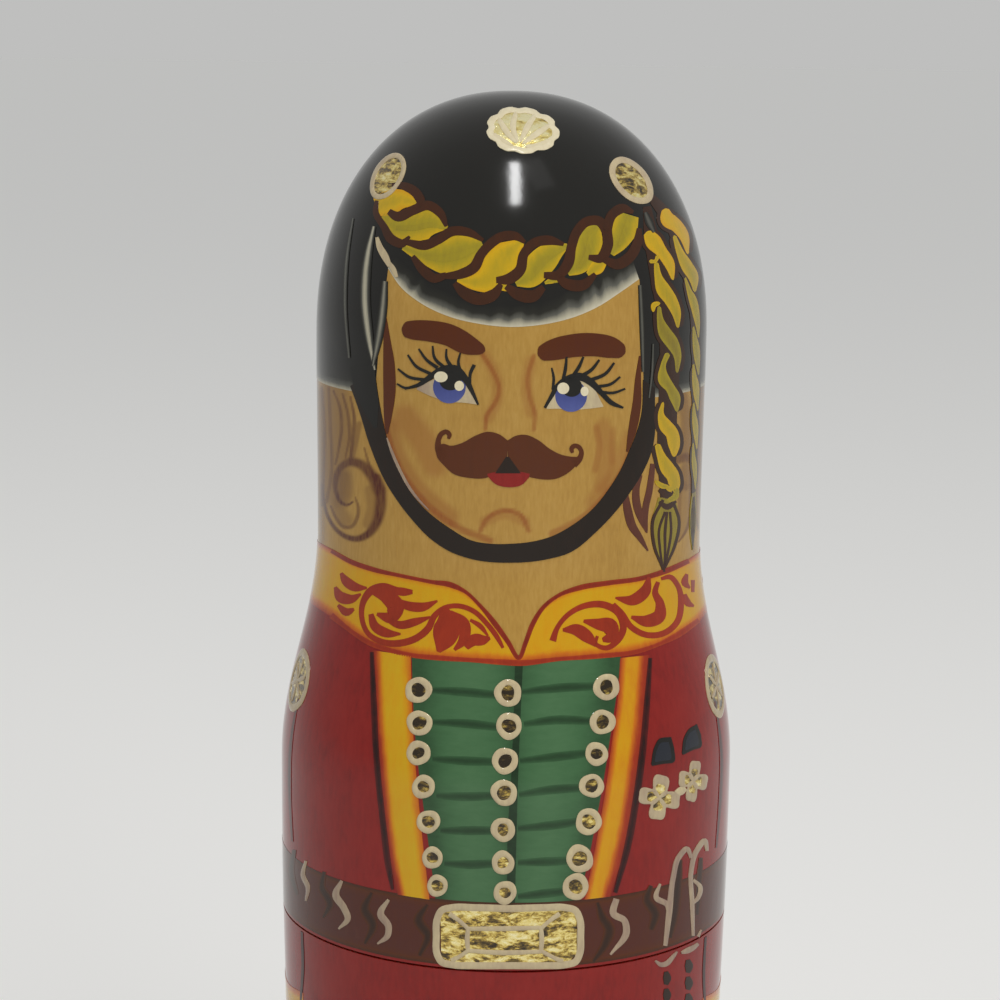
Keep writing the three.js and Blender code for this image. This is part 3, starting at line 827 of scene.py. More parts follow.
# Coat: red all round, from under the collar to the seam, with dark sleeve lines.
lay("top", "red", belt_of(collar_foot + 0.6, run_at(SEAM + SEAM_GAP + 0.01), rows=40), GROUND, shade=0.5,
    ringed=True)
SLEEVES = [
    ([(-69, 99), (-70, 92), (-70, 85), (-68, 79)], [0.6, 1.5, 1.5, 0.8]),
    ([(69, 99), (69.5, 92), (69, 85), (67, 79)], [0.6, 1.5, 1.5, 0.8]),
    ([(-104, 102), (-106, 92), (-106, 79)], [0.3, 0.6, 0.5]),
    ([(104, 102), (106, 92), (106, 79)], [0.3, 0.6, 0.5]),
    ([(180, 111), (180, 95), (180, 79)], [0.3, 0.5, 0.4]),
]
marks("top", "red", SLEEVES, LINE, shade=0.4, across=7, place=unrolled, step=0.8, belly=-0.36)

# Waistcoat between the lapels, with painted shade by the buttons and in its folds, a dark front edge and
# three rows of buttons.
GREEN_LEFT = [(411, 655), (412, 690), (414, 730), (418, 770), (424, 815), (430, 860), (436, 908)]
GREEN_RIGHT = [(622, 655), (618, 690), (612, 730), (606, 770), (598, 815), (589, 860), (578, 908)]
grid = spread(GREEN_LEFT, GREEN_RIGHT, step=5.0)
v = np.linspace(0, 1, grid.shape[1])[None, :]
# Each half of the waistcoat is painted lighter in its middle and darker by the buttons, at its edges and at
# the front: painted shade.
panel_shade = np.abs(np.sin(np.pi * np.clip((v - 0.06) / 0.88, 0, 1) * 2)) ** 0.7
lay("top", "green", on_doll(grid), PANEL, shade=0.30 + 0.42 * panel_shade)
GREEN_EDGE = ([(519, 664), (517, 720), (515, 770), (512, 840), (511, 905)], [8, 7, 7, 9, 8], 0.06)
marks("top", "green", [GREEN_EDGE], BELT)
GREEN_FOLDS = [
    [(429, 690), (465, 692), (497, 695)], [(432, 722), (470, 724), (497, 727)],
    [(432, 759), (465, 761), (494, 762)], [(436, 796), (465, 797), (494, 796)],
    [(440, 831), (468, 831), (494, 831)], [(444, 864), (470, 865), (494, 864)],
    [(521, 692), (558, 688), (598, 686)], [(524, 724), (556, 720), (593, 721)],
    [(520, 761), (556, 757), (590, 753)], [(519, 795), (552, 790), (584, 788)],
    [(518, 829), (550, 826), (579, 822)], [(518, 863), (548, 862), (571, 861)],
    [(518, 897), (545, 894), (564, 892)],
]
# Dark fold lines: painted shade in the waistcoat's creases.
folds = [(path, [6, 9, 8]) for path in GREEN_FOLDS]
marks("top", "green", folds, BELT, shade=0.42, fine=True, across=9, belly=-0.26)
LEFT_LAPEL = ([(371, 650), (373, 700), (377, 760), (383, 820), (390, 866), (397, 895)],
              [(410, 656), (411, 690), (413, 740), (417, 790), (422, 840), (429, 900)])
RIGHT_LAPEL = ([(621, 658), (618, 700), (612, 745), (606, 790), (599, 830), (585, 900)],
               [(650, 655), (646, 700), (641, 750), (634, 800), (626, 845), (611, 897)])
s = np.linspace(0, 1, 17)
left_tone = np.interp(s, [0, 0.1, 0.3, 0.75, 0.95, 1], [0.05, 0.18, 0.58, 0.60, 0.38, 0.34])
right_tone = np.interp(s, [0, 0.12, 0.25, 0.6, 0.8, 1], [0.2, 0.36, 0.52, 0.50, 0.24, 0.12])
for edges, tone in ((LEFT_LAPEL, left_tone), (RIGHT_LAPEL, right_tone)):
    lay("top", "yellow", on_doll(spread(*edges, step=5.0, across=17)), TRIM, tone)
LAPEL_LINES = [
    ([(371, 652), (373, 700), (376, 760), (382, 820), (388, 868), (392, 890)], [4, 6, 6, 6, 6, 3]),
    ([(651, 658), (648, 700), (643, 755), (636, 805), (628, 848), (616, 893)], [4, 6, 7, 7, 7, 4]),
]
marks("top", "red", LAPEL_LINES, LINE, shade=0.2, across=7, belly=-0.18)
BUTTONS = [
    (418, 690, 13), (419, 723, 12.5), (418, 753, 12), (423, 787, 11.5), (428, 822, 11.5), (432, 858, 10.5),
    (437, 886, 10.5), (508, 693, 13.5), (509, 726, 13), (505, 761, 13), (504, 793, 13), (503, 830, 12),
    (503, 863, 11.5), (505, 893, 11.5), (607, 687, 13), (603, 722, 12.5), (597, 754, 11.5), (592, 786, 12),
    (589, 822, 13), (580, 859, 13.5), (576, 887, 13),
]
DULL_ABOVE = 770  # the gold leaf in the buttons above this row is laid darker
for i, (x, y, size) in enumerate(BUTTONS):
    rng = np.random.default_rng(100 + i)
    hole = size * rng.uniform(0.52, 0.6)
    leaf = dot((x, y), (hole + 1.5, hole * 0.8 + 1.5), tilt=rng.uniform(0, 180), count=12, across=7)
    lay("top", "gold", on_doll(leaf), LINE, shade=0.3 if y < DULL_ABOVE else 0.46)
    outer, inner = (size, size * 1.04), (hole, hole * 0.85)
    edge = ring((x, y), outer, inner, tilt=rng.uniform(0, 180), count=34, across=7, wobble=0.045,
                seed=200 + i)
    lay("top", "cream", on_doll(edge), RAISED, shade=0.42, relief=RELIEF, ringed=True)

# Ribbons and crosses on the coat.
RIBBONS = [
    ([(652, 764), (655, 748), (660, 739), (672, 737)], [(653, 766), (664, 764), (675, 762), (675, 748)]),
    ([(683, 753), (685, 738), (690, 729), (698, 724)], [(684, 755), (694, 750), (702, 747), (702, 735)]),
]
for edges in RIBBONS:
    lay("top", "black", on_doll(spread(*edges, step=2.5, across=9)), LINE, shade=0.0)
    middle = np.mean(np.vstack(edges), 0)
    inner = [middle + 0.7 * (np.array(edge) - middle) for edge in edges]
    lay("top", "blue", on_doll(spread(*inner, step=2.5, across=9)), DETAIL, shade=0.0)
CROSSES = [((660, 798), (17, 18), 31), ((694, 781), (11.5, 17), 32)]
CROSS = {"tilt": 8, "across": 7, "lobes": 4, "depth": 0.28, "wobble": 0.05}
CROSS_RAYS = (53, 143, 233, 323)
CROSS_LINK = ([(677, 794), (682, 791), (686, 788)], [6, 8, 6], 0.5)
for centre, size, seed in CROSSES:
    leaf = ring(centre, size, (0.5, 0.5), count=64, seed=seed, **CROSS)
    lay("top", "gold", on_doll(leaf), LINE, shade=0.66, ringed=True, hub=True)
    edge = ring(centre, np.multiply(1.04, size), np.multiply(0.62, size), count=72, seed=seed, **CROSS)
    lay("top", "cream", on_doll(edge), RAISED, shade=0.3, relief=0.1, ringed=True)
    rays = [(path, [2, 4, 4], 0.35) for path in spokes(centre, np.multiply(0.5, size), CROSS_RAYS)]
    marks("top", "cream", rays, RAISED, relief=0.07, fine=True)
marks("top", "cream", [CROSS_LINK], RAISED, relief=0.08)

# Belt: brown all round, with cream curls in front and painted dark shadows beside them and in the cords,
# cream studs behind, and a gold buckle.
BELT_TOP, BELT_FOOT = 77.0, 68.2
leather = 0.78 - 0.42 * from_edges(np.linspace(0, 1, 13), reach=0.12)
lay("top", "brown", belt_of(run_at(BELT_TOP), run_at(BELT_FOOT), rows=13), BELT, leather, ringed=True)
# Dark marks beside the cream curls and inside the cords: painted shadows.
BELT_SHADOWS = [
    ([(323, 872), (321, 888), (329, 904), (322, 918)], [4, 8, 9, 3]),
    ([(371, 893), (364, 908), (372, 926), (364, 944)], [4, 10, 10, 4]),
    ([(427, 905), (418, 920), (427, 936), (419, 956)], [4, 11, 10, 5]),
    ([(598, 903), (603, 918), (610, 930), (606, 944), (594, 962)], [4, 10, 12, 10, 4]),
    ([(652, 886), (648, 900), (656, 914), (652, 930)], [4, 10, 11, 6]),
    ([(681, 860), (678, 890), (675, 915), (671, 938)], [5, 10, 11, 5]),
    ([(702, 858), (700, 885), (698, 915)], [4, 7, 5]), ([(293, 850), (290, 872), (296, 895)], [4, 7, 4]),
]
marks("top", "brown", BELT_SHADOWS, TRIM, shade=0.6, across=7, belly=-0.4)
BELT_MARKS = [
    ([(305, 861), (302, 875), (307, 888), (305, 901)], [2.5, 4.5, 4.5, 2]),
    ([(341, 881), (335, 895), (343, 908), (347, 919), (338, 929)], [3, 7, 6.5, 6, 2]),
    ([(388, 900), (380, 914), (388, 927), (387, 936), (377, 944)], [3, 7, 6.5, 6, 2]),
    ([(617, 899), (614, 914), (625, 921), (627, 931), (611, 955)], [6, 7, 6.5, 7, 2]),
    ([(661, 884), (657, 898), (668, 905), (670, 913)], [2, 5.5, 5.5, 5]),
    ([(666, 946), (670, 912), (674, 878), (680, 857), (688, 849), (692, 858)], [4, 6, 5, 5, 5, 3]),
    ([(694, 936), (693, 903), (692, 872), (697, 852), (706, 841), (708, 851)], [3, 4.5, 4.5, 5, 5, 3]),
    ([(694, 880), (701, 887), (699, 898), (693, 904)], [3, 4.5, 4, 3]),
    ([(699, 937), (702, 930)], [3, 1.6]),
]
marks("top", "cream", BELT_MARKS, RAISED, shade=0.12, relief=0.07, step=1.8)
STUD_HEIGHT = 72.6
for at in range(112, 256, 17):
    stud = dot(flat((at, STUD_HEIGHT)), (0.9, 1.5), count=16, across=9)
    lay("top", "cream", unrolled(stud), RAISED, shade=0.3, relief=0.09)
BUCKLE = ([(440, 914), (452, 908), (480, 907), (508, 908), (540, 907), (566, 908), (577, 914)],
          [(441, 957), (452, 964), (480, 967), (508, 968), (540, 967), (566, 964), (577, 955)])
lay("top", "gold", on_doll(spread(*BUCKLE, step=3.5, across=15)), LINE, shade=0.7)
BUCKLE_LINES = [
    ([(510, 909), (475, 908), (452, 908), (441, 911), (437, 919), (436, 937), (437, 955), (441, 962),
      (452, 965), (475, 966), (510, 966), (545, 966), (566, 965), (576, 962), (580, 954), (581, 937),
      (580, 919), (576, 911), (566, 908), (545, 908), (510, 909)], 7),
    ([(468, 929), (500, 929), (541, 928)], [4, 5, 4]), ([(541, 927), (542, 940), (541, 953)], [4, 5, 4]),
    ([(468, 951), (500, 953), (541, 952)], [4, 5, 4]), ([(468, 928), (467, 940), (468, 952)], [4, 5, 4]),
    ([(449, 914), (459, 921), (469, 930)], [5, 4, 4]), ([(541, 929), (550, 921), (560, 914)], [4, 4, 5]),
    ([(541, 951), (552, 957), (563, 962)], [4, 4, 5]), ([(468, 951), (459, 957), (451, 961)], [4, 4, 5]),
]
marks("top", "cream", BUCKLE_LINES, RAISED, shade=0.38, relief=0.08, step=2.4, across=7)

# Lower half, which the photograph cuts off: skirts of the coat, sleeves, hands, sabre, trousers, boots.
HEM, BOOT, SOLE, GROUND_LINE = 34.0, 18.0, 3.2, 1.35
OVER_RIM = -1.9  # the skirt's red is carried in over the rim, nearly to the lip
v = np.linspace(0, 1, 9)
skirt = belt_of(run_at(SEAM + 0.03), run_at(HEM), rows=24)
lay("bottom", "red", skirt, GROUND, shade=0.5, ringed=True, under=OVER_RIM)
piping = 0.58 - 0.36 * from_edges(v, reach=0.35)
lay("bottom", "yellow", belt_of(run_at(HEM + 1.8), run_at(HEM - 1.4), rows=9), BELT, piping, ringed=True)
lay("bottom", "green", belt_of(run_at(HEM - 0.6), run_at(BOOT - 1), rows=16), GROUND, shade=0.36,
    ringed=True)
lay("bottom", "black", belt_of(run_at(BOOT), run_at(SOLE - 0.4), rows=14), GROUND, shade=0.0, ringed=True)
lay("bottom", "brown", belt_of(run_at(SOLE), run_at(GROUND_LINE), rows=4), PANEL, shade=0.4, ringed=True)
lay("bottom", "yellow", belt_of(run_at(BOOT + 0.7), run_at(BOOT - 0.5), rows=5), LINE, shade=0.5,
    ringed=True)

# What both sides of the lower half carry, in degrees and heights.
OPENING = (
    [(-0.6, 61.5), (-5, 55), (-10, 47), (-18, 32.6)], [(-0.2, 57.5), (-2.4, 53), (-6, 46), (-13, 32.6)],
)
OPENING_TONE = np.interp(v, [0, 0.3, 0.7, 1], [0.16, 0.5, 0.6, 0.4])
OPENING_LINE = [(0.8, 62), (5.6, 55), (10.8, 47), (16.8, 36.2)]
SLEEVE_LINES = [[(62, 67.2), (62, 62), (64, 57)], [(100, 67.2), (100, 62), (98, 57)]]
CUFF = ([(62, 58.5), (81, 57.3), (100, 58.5)], [(64, 54), (81, 52.8), (98, 54)])
CUFF_TONE = 0.58 - 0.3 * from_edges(v, reach=0.3)
PALM = ([(66, 54), (66, 50), (70, 45.5), (76, 43.5)], [(96, 54), (97, 50), (93, 46), (84, 43.5)])
FINGERS = [[(at, 48.5), (at + 1, 46), (at + 2, 44.2)] for at in (72, 77, 82, 87)]
STRIPE = [(84, 33), (85, 26), (86, 18.2)]
TAIL_LINE = [(150, 67), (152, 52), (154, 36.4)]
TAIL_BUTTONS = [(146, 62), (146, 53), (146, 44)]
DRAWN = {"place": unrolled, "step": 0.6}
for side in (1, -1):
    opening, cuff, palm = (
        [flat(mirrored(edge, side)) for edge in edges] for edges in (OPENING, CUFF, PALM)
    )
    lay("bottom", "yellow", unrolled(spread(*opening, step=0.6, across=9)), TRIM, OPENING_TONE)
    marks("bottom", "red", [(mirrored(OPENING_LINE, side), [0.4, 0.8, 0.8, 0.6])], LINE, shade=0.04,
          **DRAWN)
    sleeve = [(mirrored(path, side), [0.7, 0.8, 0.6]) for path in SLEEVE_LINES]
    marks("bottom", "red", sleeve, LINE, shade=0.06, **DRAWN)
    lay("bottom", "yellow", unrolled(spread(*cuff, step=0.6, across=9)), TRIM, CUFF_TONE)
    lay("bottom", "linden", unrolled(spread(*palm, step=0.6, across=15)), BELT, shade=0.12)
    fingers = [(mirrored(path, side), [0.25, 0.4, 0.25]) for path in FINGERS]
    marks("bottom", "brown", fingers, TRIM, shade=0.62, place=unrolled, step=0.4, fine=True)
    marks("bottom", "yellow", [(mirrored(STRIPE, side), [1.5, 1.6, 1.6])], PANEL, shade=0.56, **DRAWN)
    tail = [(mirrored(TAIL_LINE, side), [0.4, 0.9, 0.6])]
    marks("bottom", "red", tail, LINE, shade=0.06, place=unrolled, step=0.8)
    for at, height in TAIL_BUTTONS:
        centre = flat((side * at, height))
        edge = ring(centre, (1.5, 1.5), (0.6, 0.55), count=30, across=7, wobble=0.03, seed=height)
        lay("bottom", "gold", unrolled(dot(centre, 0.8, count=12, across=7)), LINE, shade=0.6)
        lay("bottom", "cream", unrolled(edge), RAISED, shade=0.7, relief=RELIEF, ringed=True)

# What the lower half carries once: lines down the front and back, the front of the trousers, sabre, slings.
LEG_LINE = ([(0, 33.4), (0, 25), (0, 18.4)], [0.9, 0.8, 0.8])
FRONT_LINE = ([(0, 56), (0, 44), (0, 31.8)], [0.4, 0.8, 0.9])
BACK_LINE = ([(180, 67), (180, 52), (180, 36.4)], [0.5, 0.6, 0.5])
FRONT_EDGE = [(0.4, 58.5), (3.5, 53), (7.5, 46), (14.5, 32)]
SABRE = ([(53, 57.5), (57, 51), (64, 41), (76, 28), (86, 20)], [2.2, 2.4, 2.3, 2.2, 1.2])
FITTINGS = [
    ([(52.6, 58.4), (54, 55.8)], [2.6, 2.8]), ([(60.6, 46), (62, 44)], [2.8, 2.8]),
    ([(80, 24), (83, 22), (86.4, 19.8)], [2.3, 2.0, 1.0]),
]
SLINGS = [
    ([(656, 961), (662, 965), (667, 964), (673, 958), (678, 952)], [2, 4.5, 5, 4, 1.6]),
    ([(682, 953), (688, 951), (694, 948), (699, 944)], [2.5, 5.5, 5, 3]),
]
KNOTS = [(667, 972), (689, 960)]  # topmost knot of each sling
KNOT_PITCH = 17
marks("bottom", "black", [LEG_LINE], PANEL, shade=0.0, **DRAWN)
marks("bottom", "green", [FRONT_LINE], TRIM, shade=0.0, **DRAWN)
front = [flat(mirrored(FRONT_EDGE, side)) for side in (-1, 1)]
lay("bottom", "green", unrolled(spread(*front, step=0.6)), BELT + 0.006, shade=0.42)
marks("bottom", "black", [SABRE], DETAIL, shade=0.0, across=7, **DRAWN)
for path, width in FITTINGS:
    lay("bottom", "gold", unrolled(brush_mark(flat(path), width, step=0.3, across=7)), RAISED, shade=0.7,
        relief=0.06)
marks("bottom", "cream", SLINGS, RAISED, shade=0.06, relief=0.06, step=1.6)
for x, top in KNOTS:
    rows = top + KNOT_PITCH * np.arange(6)
    knots = [([(x, y), (x + 1, y + 6), (x, y + 13)], [4, 8, 4]) for y in rows]
    marks("bottom", "brown", knots, LINE, shade=0.1, step=1.6)
marks("bottom", "red", [BACK_LINE], LINE, shade=0.06, place=unrolled, step=0.8)


def linear(code):
    """Linear red, green, blue and full alpha of an sRGB hex colour."""
    parts = np.array([int(code[i:i + 2], 16) for i in (1, 3, 5)]) / 255
    parts = np.where(parts <= 0.04045, parts / 12.92, ((parts + 0.055) / 1.055) ** 2.4)
    return (*parts.tolist(), 1.0)


def node(tree, kind, out=None, settings=None, **inputs):
    """Adds a node, sets its properties, fills its inputs by name with values or with outputs of other
    nodes, and gives its output called out. In an input's name an underscore stands for a space, and i
    with a number picks by place. Stops among the properties are the places and hex colours of a ramp."""
    made = tree.nodes.new("ShaderNode" + kind)
    for name, value in (settings or {}).items():
        if name != "stops":
            setattr(made, name, value)
            continue
        elements = made.color_ramp.elements
        while len(elements) < len(value):
            elements.new(1.0)
        for element, (at, code) in zip(elements, value):
            element.position, element.color = at, linear(code)
    for name, value in inputs.items():
        by_place = name[0] == "i" and name[1:].isdigit()
        socket = made.inputs[int(name[1:]) if by_place else name.replace("_", " ")]
        if isinstance(value, bpy.types.NodeSocket):
            tree.links.new(value, socket)
        else:
            socket.default_value = value
    return made if out is None else made.outputs[out]


# Widths of the patterns, mm. The bristle marks and the wood's flecks are drawn about twice as coarse
# as real ones, so that they show.
MOTTLE, BRISTLE, SWELL, CREASE, FLECK, YEAR_RING = 6.0, 0.66, 4.0, 2.0, 0.4, 6.0

# Depths of the bristle marks and the grain, of the waves in the lacquer and of the leaf's creases, m.
RIDGE_DEPTH, WAVE_DEPTH, CRINKLE_DEPTH = 0.00004, 0.0001, 0.0002

# The clear lacquer is the only gloss: what lies under it is wetted by it and has none of its own.
LACQUER = {"Specular_IOR_Level": 0.0, "Coat_Weight": 1.0, "Coat_IOR": 1.36}

# Settings of the sums that the materials share.
ADD = {"operation": "ADD"}
ADD_WITHIN = {"operation": "ADD", "use_clamp": True}
TIMES_PLUS = {"operation": "MULTIPLY_ADD"}
TIMES_PLUS_WITHIN = {"operation": "MULTIPLY_ADD", "use_clamp": True}
TIMES = {"operation": "MULTIPLY"}
TIMES_WITHIN = {"operation": "MULTIPLY", "use_clamp": True}


def wide(size):
    """Scale of a noise whose patches are about a size in mm wide, on coordinates in metres."""
    return 1000 / size


def blank(name):
    """A new material and its empty tree."""
    material = bpy.data.materials.new(name)
    material.use_nodes = True
    material.node_tree.nodes.clear()
    return material, material.node_tree


def lacquered(name, stops, mottle, ridge, streak=(1.0, 1.0, 0.25), gloss=0.05):
    """A brushed paint under clear gloss lacquer: colour from the mark's shade, mottled by two noises
    in the object's own metres, ridged by the brush, and coated with a slightly uneven gloss."""
    material, tree = blank(name)
    where = node(tree, "TexCoord", "Object")
    drawn = node(tree, "Mapping", "Vector", Vector=where, Scale=streak)
    shade = node(tree, "Attribute", "Fac", {"attribute_name": "shade"})
    broad = node(tree, "TexNoise", "Fac", Vector=where, Scale=wide(MOTTLE), Detail=3.0, Roughness=0.6)
    fine = node(tree, "TexNoise", "Fac", Vector=drawn, Scale=wide(BRISTLE), Detail=3.0, Roughness=0.65)
    both = node(tree, "Math", "Value", ADD, i0=broad, i1=fine)
    wander = node(tree, "Math", "Value", TIMES_PLUS, i0=both, i1=mottle * 2, i2=-mottle * 2)
    tone = node(tree, "Math", "Value", ADD_WITHIN, i0=shade, i1=wander)
    colour = node(tree, "ValToRGB", "Color", {"stops": stops}, Fac=tone)
    ridges = node(tree, "Bump", "Normal", Strength=ridge, Distance=RIDGE_DEPTH, Height=fine)
    swell = node(tree, "TexNoise", "Fac", Vector=where, Scale=wide(SWELL), Detail=1.0)
    coat = node(tree, "Bump", "Normal", Strength=0.22, Distance=WAVE_DEPTH, Height=swell, Normal=ridges)
    shader = node(tree, "BsdfPrincipled", "BSDF", Base_Color=colour, Normal=ridges, Coat_Normal=coat,
                  Roughness=0.38, Coat_Roughness=gloss, **LACQUER)
    node(tree, "OutputMaterial", Surface=shader)
    return material


# Black enamel: a deep, nearly even black with a softer gloss, that thins to warm grey and cream in pale
# stripes and in the painted sheen along the hat's edges.
BLACK = lacquered("black enamel under gloss lacquer", [
    (0, "#1b1a17"), (0.35, "#26251f"), (0.6, "#57564e"), (0.8, "#a39d88"), (1, "#cfc6ac"),
], mottle=0.05, ridge=0.12, gloss=0.12)
# Crimson paint: a blotchy deep red that sinks to near black in the drawn lines.
RED = lacquered("crimson paint under gloss lacquer", [
    (0, "#260b08"), (0.25, "#561210"), (0.5, "#801914"), (1, "#9c2c23"),
], mottle=0.14, ridge=0.2)
# Yellow and orange paint: one run of blended tones, from rust edges through gold to olive.
YELLOW = lacquered("yellow and orange paint under gloss lacquer", [
    (0, "#651b10"), (0.2, "#972f14"), (0.38, "#bd6610"), (0.52, "#c68d08"), (0.64, "#c29b12"),
    (0.8, "#98871e"), (1, "#6a5a26"),
], mottle=0.07, ridge=0.2)
# Deep green paint: level streaks of the brush across the waistcoat, with painted shade in its folds and by
# its buttons.
GREEN = lacquered("deep green paint under gloss lacquer", [
    (0, "#172a16"), (0.3, "#2b4a2c"), (0.6, "#3d623e"), (1, "#51754f"),
], mottle=0.12, ridge=0.2, streak=(0.3, 0.3, 1.0))
# Brown paint: near black in the strap, chestnut in brows and moustache, dull leather in the belt.
BROWN = lacquered("brown paint under gloss lacquer", [
    (0, "#1d130a"), (0.3, "#371f11"), (0.6, "#522506"), (0.8, "#4c2218"), (1, "#6a3f28"),
], mottle=0.08, ridge=0.2)
# Cream paste: thick raised strokes, chalky and uneven, that catch light along their backs.
CREAM = lacquered("raised cream paste under lacquer", [
    (0, "#8f7768"), (0.5, "#c0b08a"), (1, "#e0d6b8"),
], mottle=0.2, ridge=0.35)
# Blue paint: slate in the ribbons, and in the eyes a blue that pales downwards.
BLUE = lacquered("blue paint under gloss lacquer", [
    (0, "#24272e"), (0.2, "#2c3140"), (0.5, "#424a82"), (1, "#6c76b2"),
], mottle=0.05, ridge=0.15)


def gold_leaf():
    """Loose gold leaf, which gives bright pale patches that break into brown creases: colour and bump from
    a noise of creases drawn out level. The bright patches are partly painted reflection and the brown
    creases partly painted shade; the shade sets how much of it is bright."""
    material, tree = blank("crinkled gold leaf under lacquer")
    where = node(tree, "TexCoord", "Object")
    shade = node(tree, "Attribute", "Fac", {"attribute_name": "shade"})
    drawn = node(tree, "Mapping", "Vector", Vector=where, Scale=(1.0, 1.0, 2.2))
    patch = node(tree, "TexNoise", "Fac", Vector=drawn, Scale=wide(CREASE), Detail=6.0, Roughness=0.72,
                 Distortion=0.35)
    brightness = node(tree, "Math", "Value", TIMES_PLUS, i0=shade, i1=0.5, i2=-0.55)
    tone = node(tree, "Math", "Value", TIMES_PLUS_WITHIN, i0=patch, i1=1.45, i2=brightness)
    colour = node(tree, "ValToRGB", "Color", {"stops": [
        (0.33, "#2c2009"), (0.43, "#776029"), (0.51, "#c0a248"), (0.58, "#e4cf7a"), (0.76, "#f4eab6"),
    ]}, Fac=tone)
    crinkle = node(tree, "Bump", "Normal", Strength=0.6, Distance=CRINKLE_DEPTH, Height=patch)
    shader = node(tree, "BsdfPrincipled", "BSDF", Base_Color=colour, Normal=crinkle, Metallic=0.75,
                  Roughness=0.25, Coat_Weight=0.6, Coat_Roughness=0.08)
    node(tree, "OutputMaterial", Surface=shader)
    return material


# Colours of the glazes: blush and painted shade on the face, and the hair.
BLUSH_AND_SHADE, HAIR = "#82380f", "#501f0c"


def linden(name, stops, lacquer):
    """Linden, which gives a warm wood with short dark flecks: a noise drawn out four to five times down the
    grain, over a slow change of tone. Lacquer adds a gloss and shows the glazes of blush and painted shade,
    and of hair."""
    material, tree = blank(name)
    where = node(tree, "TexCoord", "Object")
    drawn = node(tree, "Mapping", "Vector", Vector=where, Scale=(1.0, 1.0, 0.22))
    fleck = node(tree, "TexNoise", "Fac", Vector=drawn, Scale=wide(FLECK), Detail=2.0, Roughness=0.6)
    slow = node(tree, "TexNoise", "Fac", Vector=drawn, Scale=wide(YEAR_RING), Detail=2.0)
    mixed = node(tree, "Math", "Value", TIMES_PLUS, i0=slow, i1=0.55, i2=-0.27)
    tone = node(tree, "Math", "Value", ADD_WITHIN, i0=fleck, i1=mixed)
    wood = node(tree, "ValToRGB", "Color", {"stops": stops}, Fac=tone)
    grain = node(tree, "Bump", "Normal", Strength=0.12, Distance=RIDGE_DEPTH, Height=fleck)
    finish = {"Roughness": 0.7}
    if lacquer:
        patchy = node(tree, "Math", "Value", TIMES_PLUS, i0=fleck, i1=0.7, i2=0.6)
        for glaze, code in (("shade", BLUSH_AND_SHADE), ("hair", HAIR)):
            amount = node(tree, "Attribute", "Fac", {"attribute_name": glaze})
            cover = node(tree, "Math", "Value", TIMES_WITHIN, i0=amount, i1=patchy)
            wood = node(tree, "Mix", 2, {"data_type": "RGBA"}, i0=cover, i6=wood, i7=linear(code))
        swell = node(tree, "TexNoise", "Fac", Vector=where, Scale=wide(SWELL), Detail=1.0)
        coat = node(tree, "Bump", "Normal", Strength=0.12, Distance=WAVE_DEPTH, Height=swell)
        finish = {"Roughness": 0.42, "Coat_Roughness": 0.05, "Coat_Normal": coat, **LACQUER}
    shader = node(tree, "BsdfPrincipled", "BSDF", Base_Color=wood, Normal=grain, **finish)
    node(tree, "OutputMaterial", Surface=shader)
    return material


# Linden under lacquer: honey brown and glossy, as the face shows. Bare linden: pale, matte and dry.
HONEY = [(0.25, "#a27b37"), (0.5, "#a9823c"), (0.75, "#af8943")]
PALE = [(0.25, "#b99a68"), (0.5, "#d8bd8c"), (0.75, "#e2cba0")]
LINDEN = linden("linden under gloss lacquer", HONEY, True)
BARE = linden("bare turned linden", PALE, False)

# Each paint's material, the word for it in a piece's name, and its slot.
PAINTS = {
    "black": (BLACK, "black_enamel", "black_paint"), "red": (RED, "crimson", "red_lacquer"),
    "yellow": (YELLOW, "yellow", "yellow_paint"), "green": (GREEN, "green", "green_paint"),
    "brown": (BROWN, "brown", "brown_paint"), "cream": (CREAM, "cream_paste", "cream_relief"),
    "blue": (BLUE, "blue", "blue_paint"), "gold": (gold_leaf(), "gold_leaf", "gold_leaf"),
    "linden": (LINDEN, "glazes", "bare_linden"),
}
SHARP = math.radians(38)  # an edge that turns more than this stays sharp
NARROW = 9  # a mark with no more places across it than this keeps them all on every doll


def object_of(name, points, faces, materials, face_material=None, values=None):
    """A mesh object from points in metres and arrays of faces, each of one number of corners."""
    mesh = bpy.data.meshes.new(name)
    corners = np.concatenate([f.ravel() for f in faces]).astype(np.int32)
    sizes = np.concatenate([np.full(len(f), f.shape[1]) for f in faces]).astype(np.int32)
    starts = np.concatenate([[0], np.cumsum(sizes)[:-1]]).astype(np.int32)
    mesh.vertices.add(len(points))
    mesh.vertices.foreach_set("co", points.astype(np.float32).ravel())
    mesh.loops.add(len(corners))
    mesh.loops.foreach_set("vertex_index", corners)
    mesh.polygons.add(len(sizes))
    mesh.polygons.foreach_set("loop_start", starts)
    if face_material is not None:
        mesh.polygons.foreach_set("material_index", face_material.astype(np.int32))
    for key, column in (values or {}).items():
        mesh.attributes.new(key, "FLOAT", "POINT").data.foreach_set("value", column.astype(np.float32))
    mesh.update(calc_edges=True)
    mesh.validate()
    mesh.set_sharp_from_angle(angle=SHARP)
    for material in materials:
        mesh.materials.append(material)
    made = bpy.data.objects.new(name, mesh)
    bpy.context.scene.collection.objects.link(made)
    return made


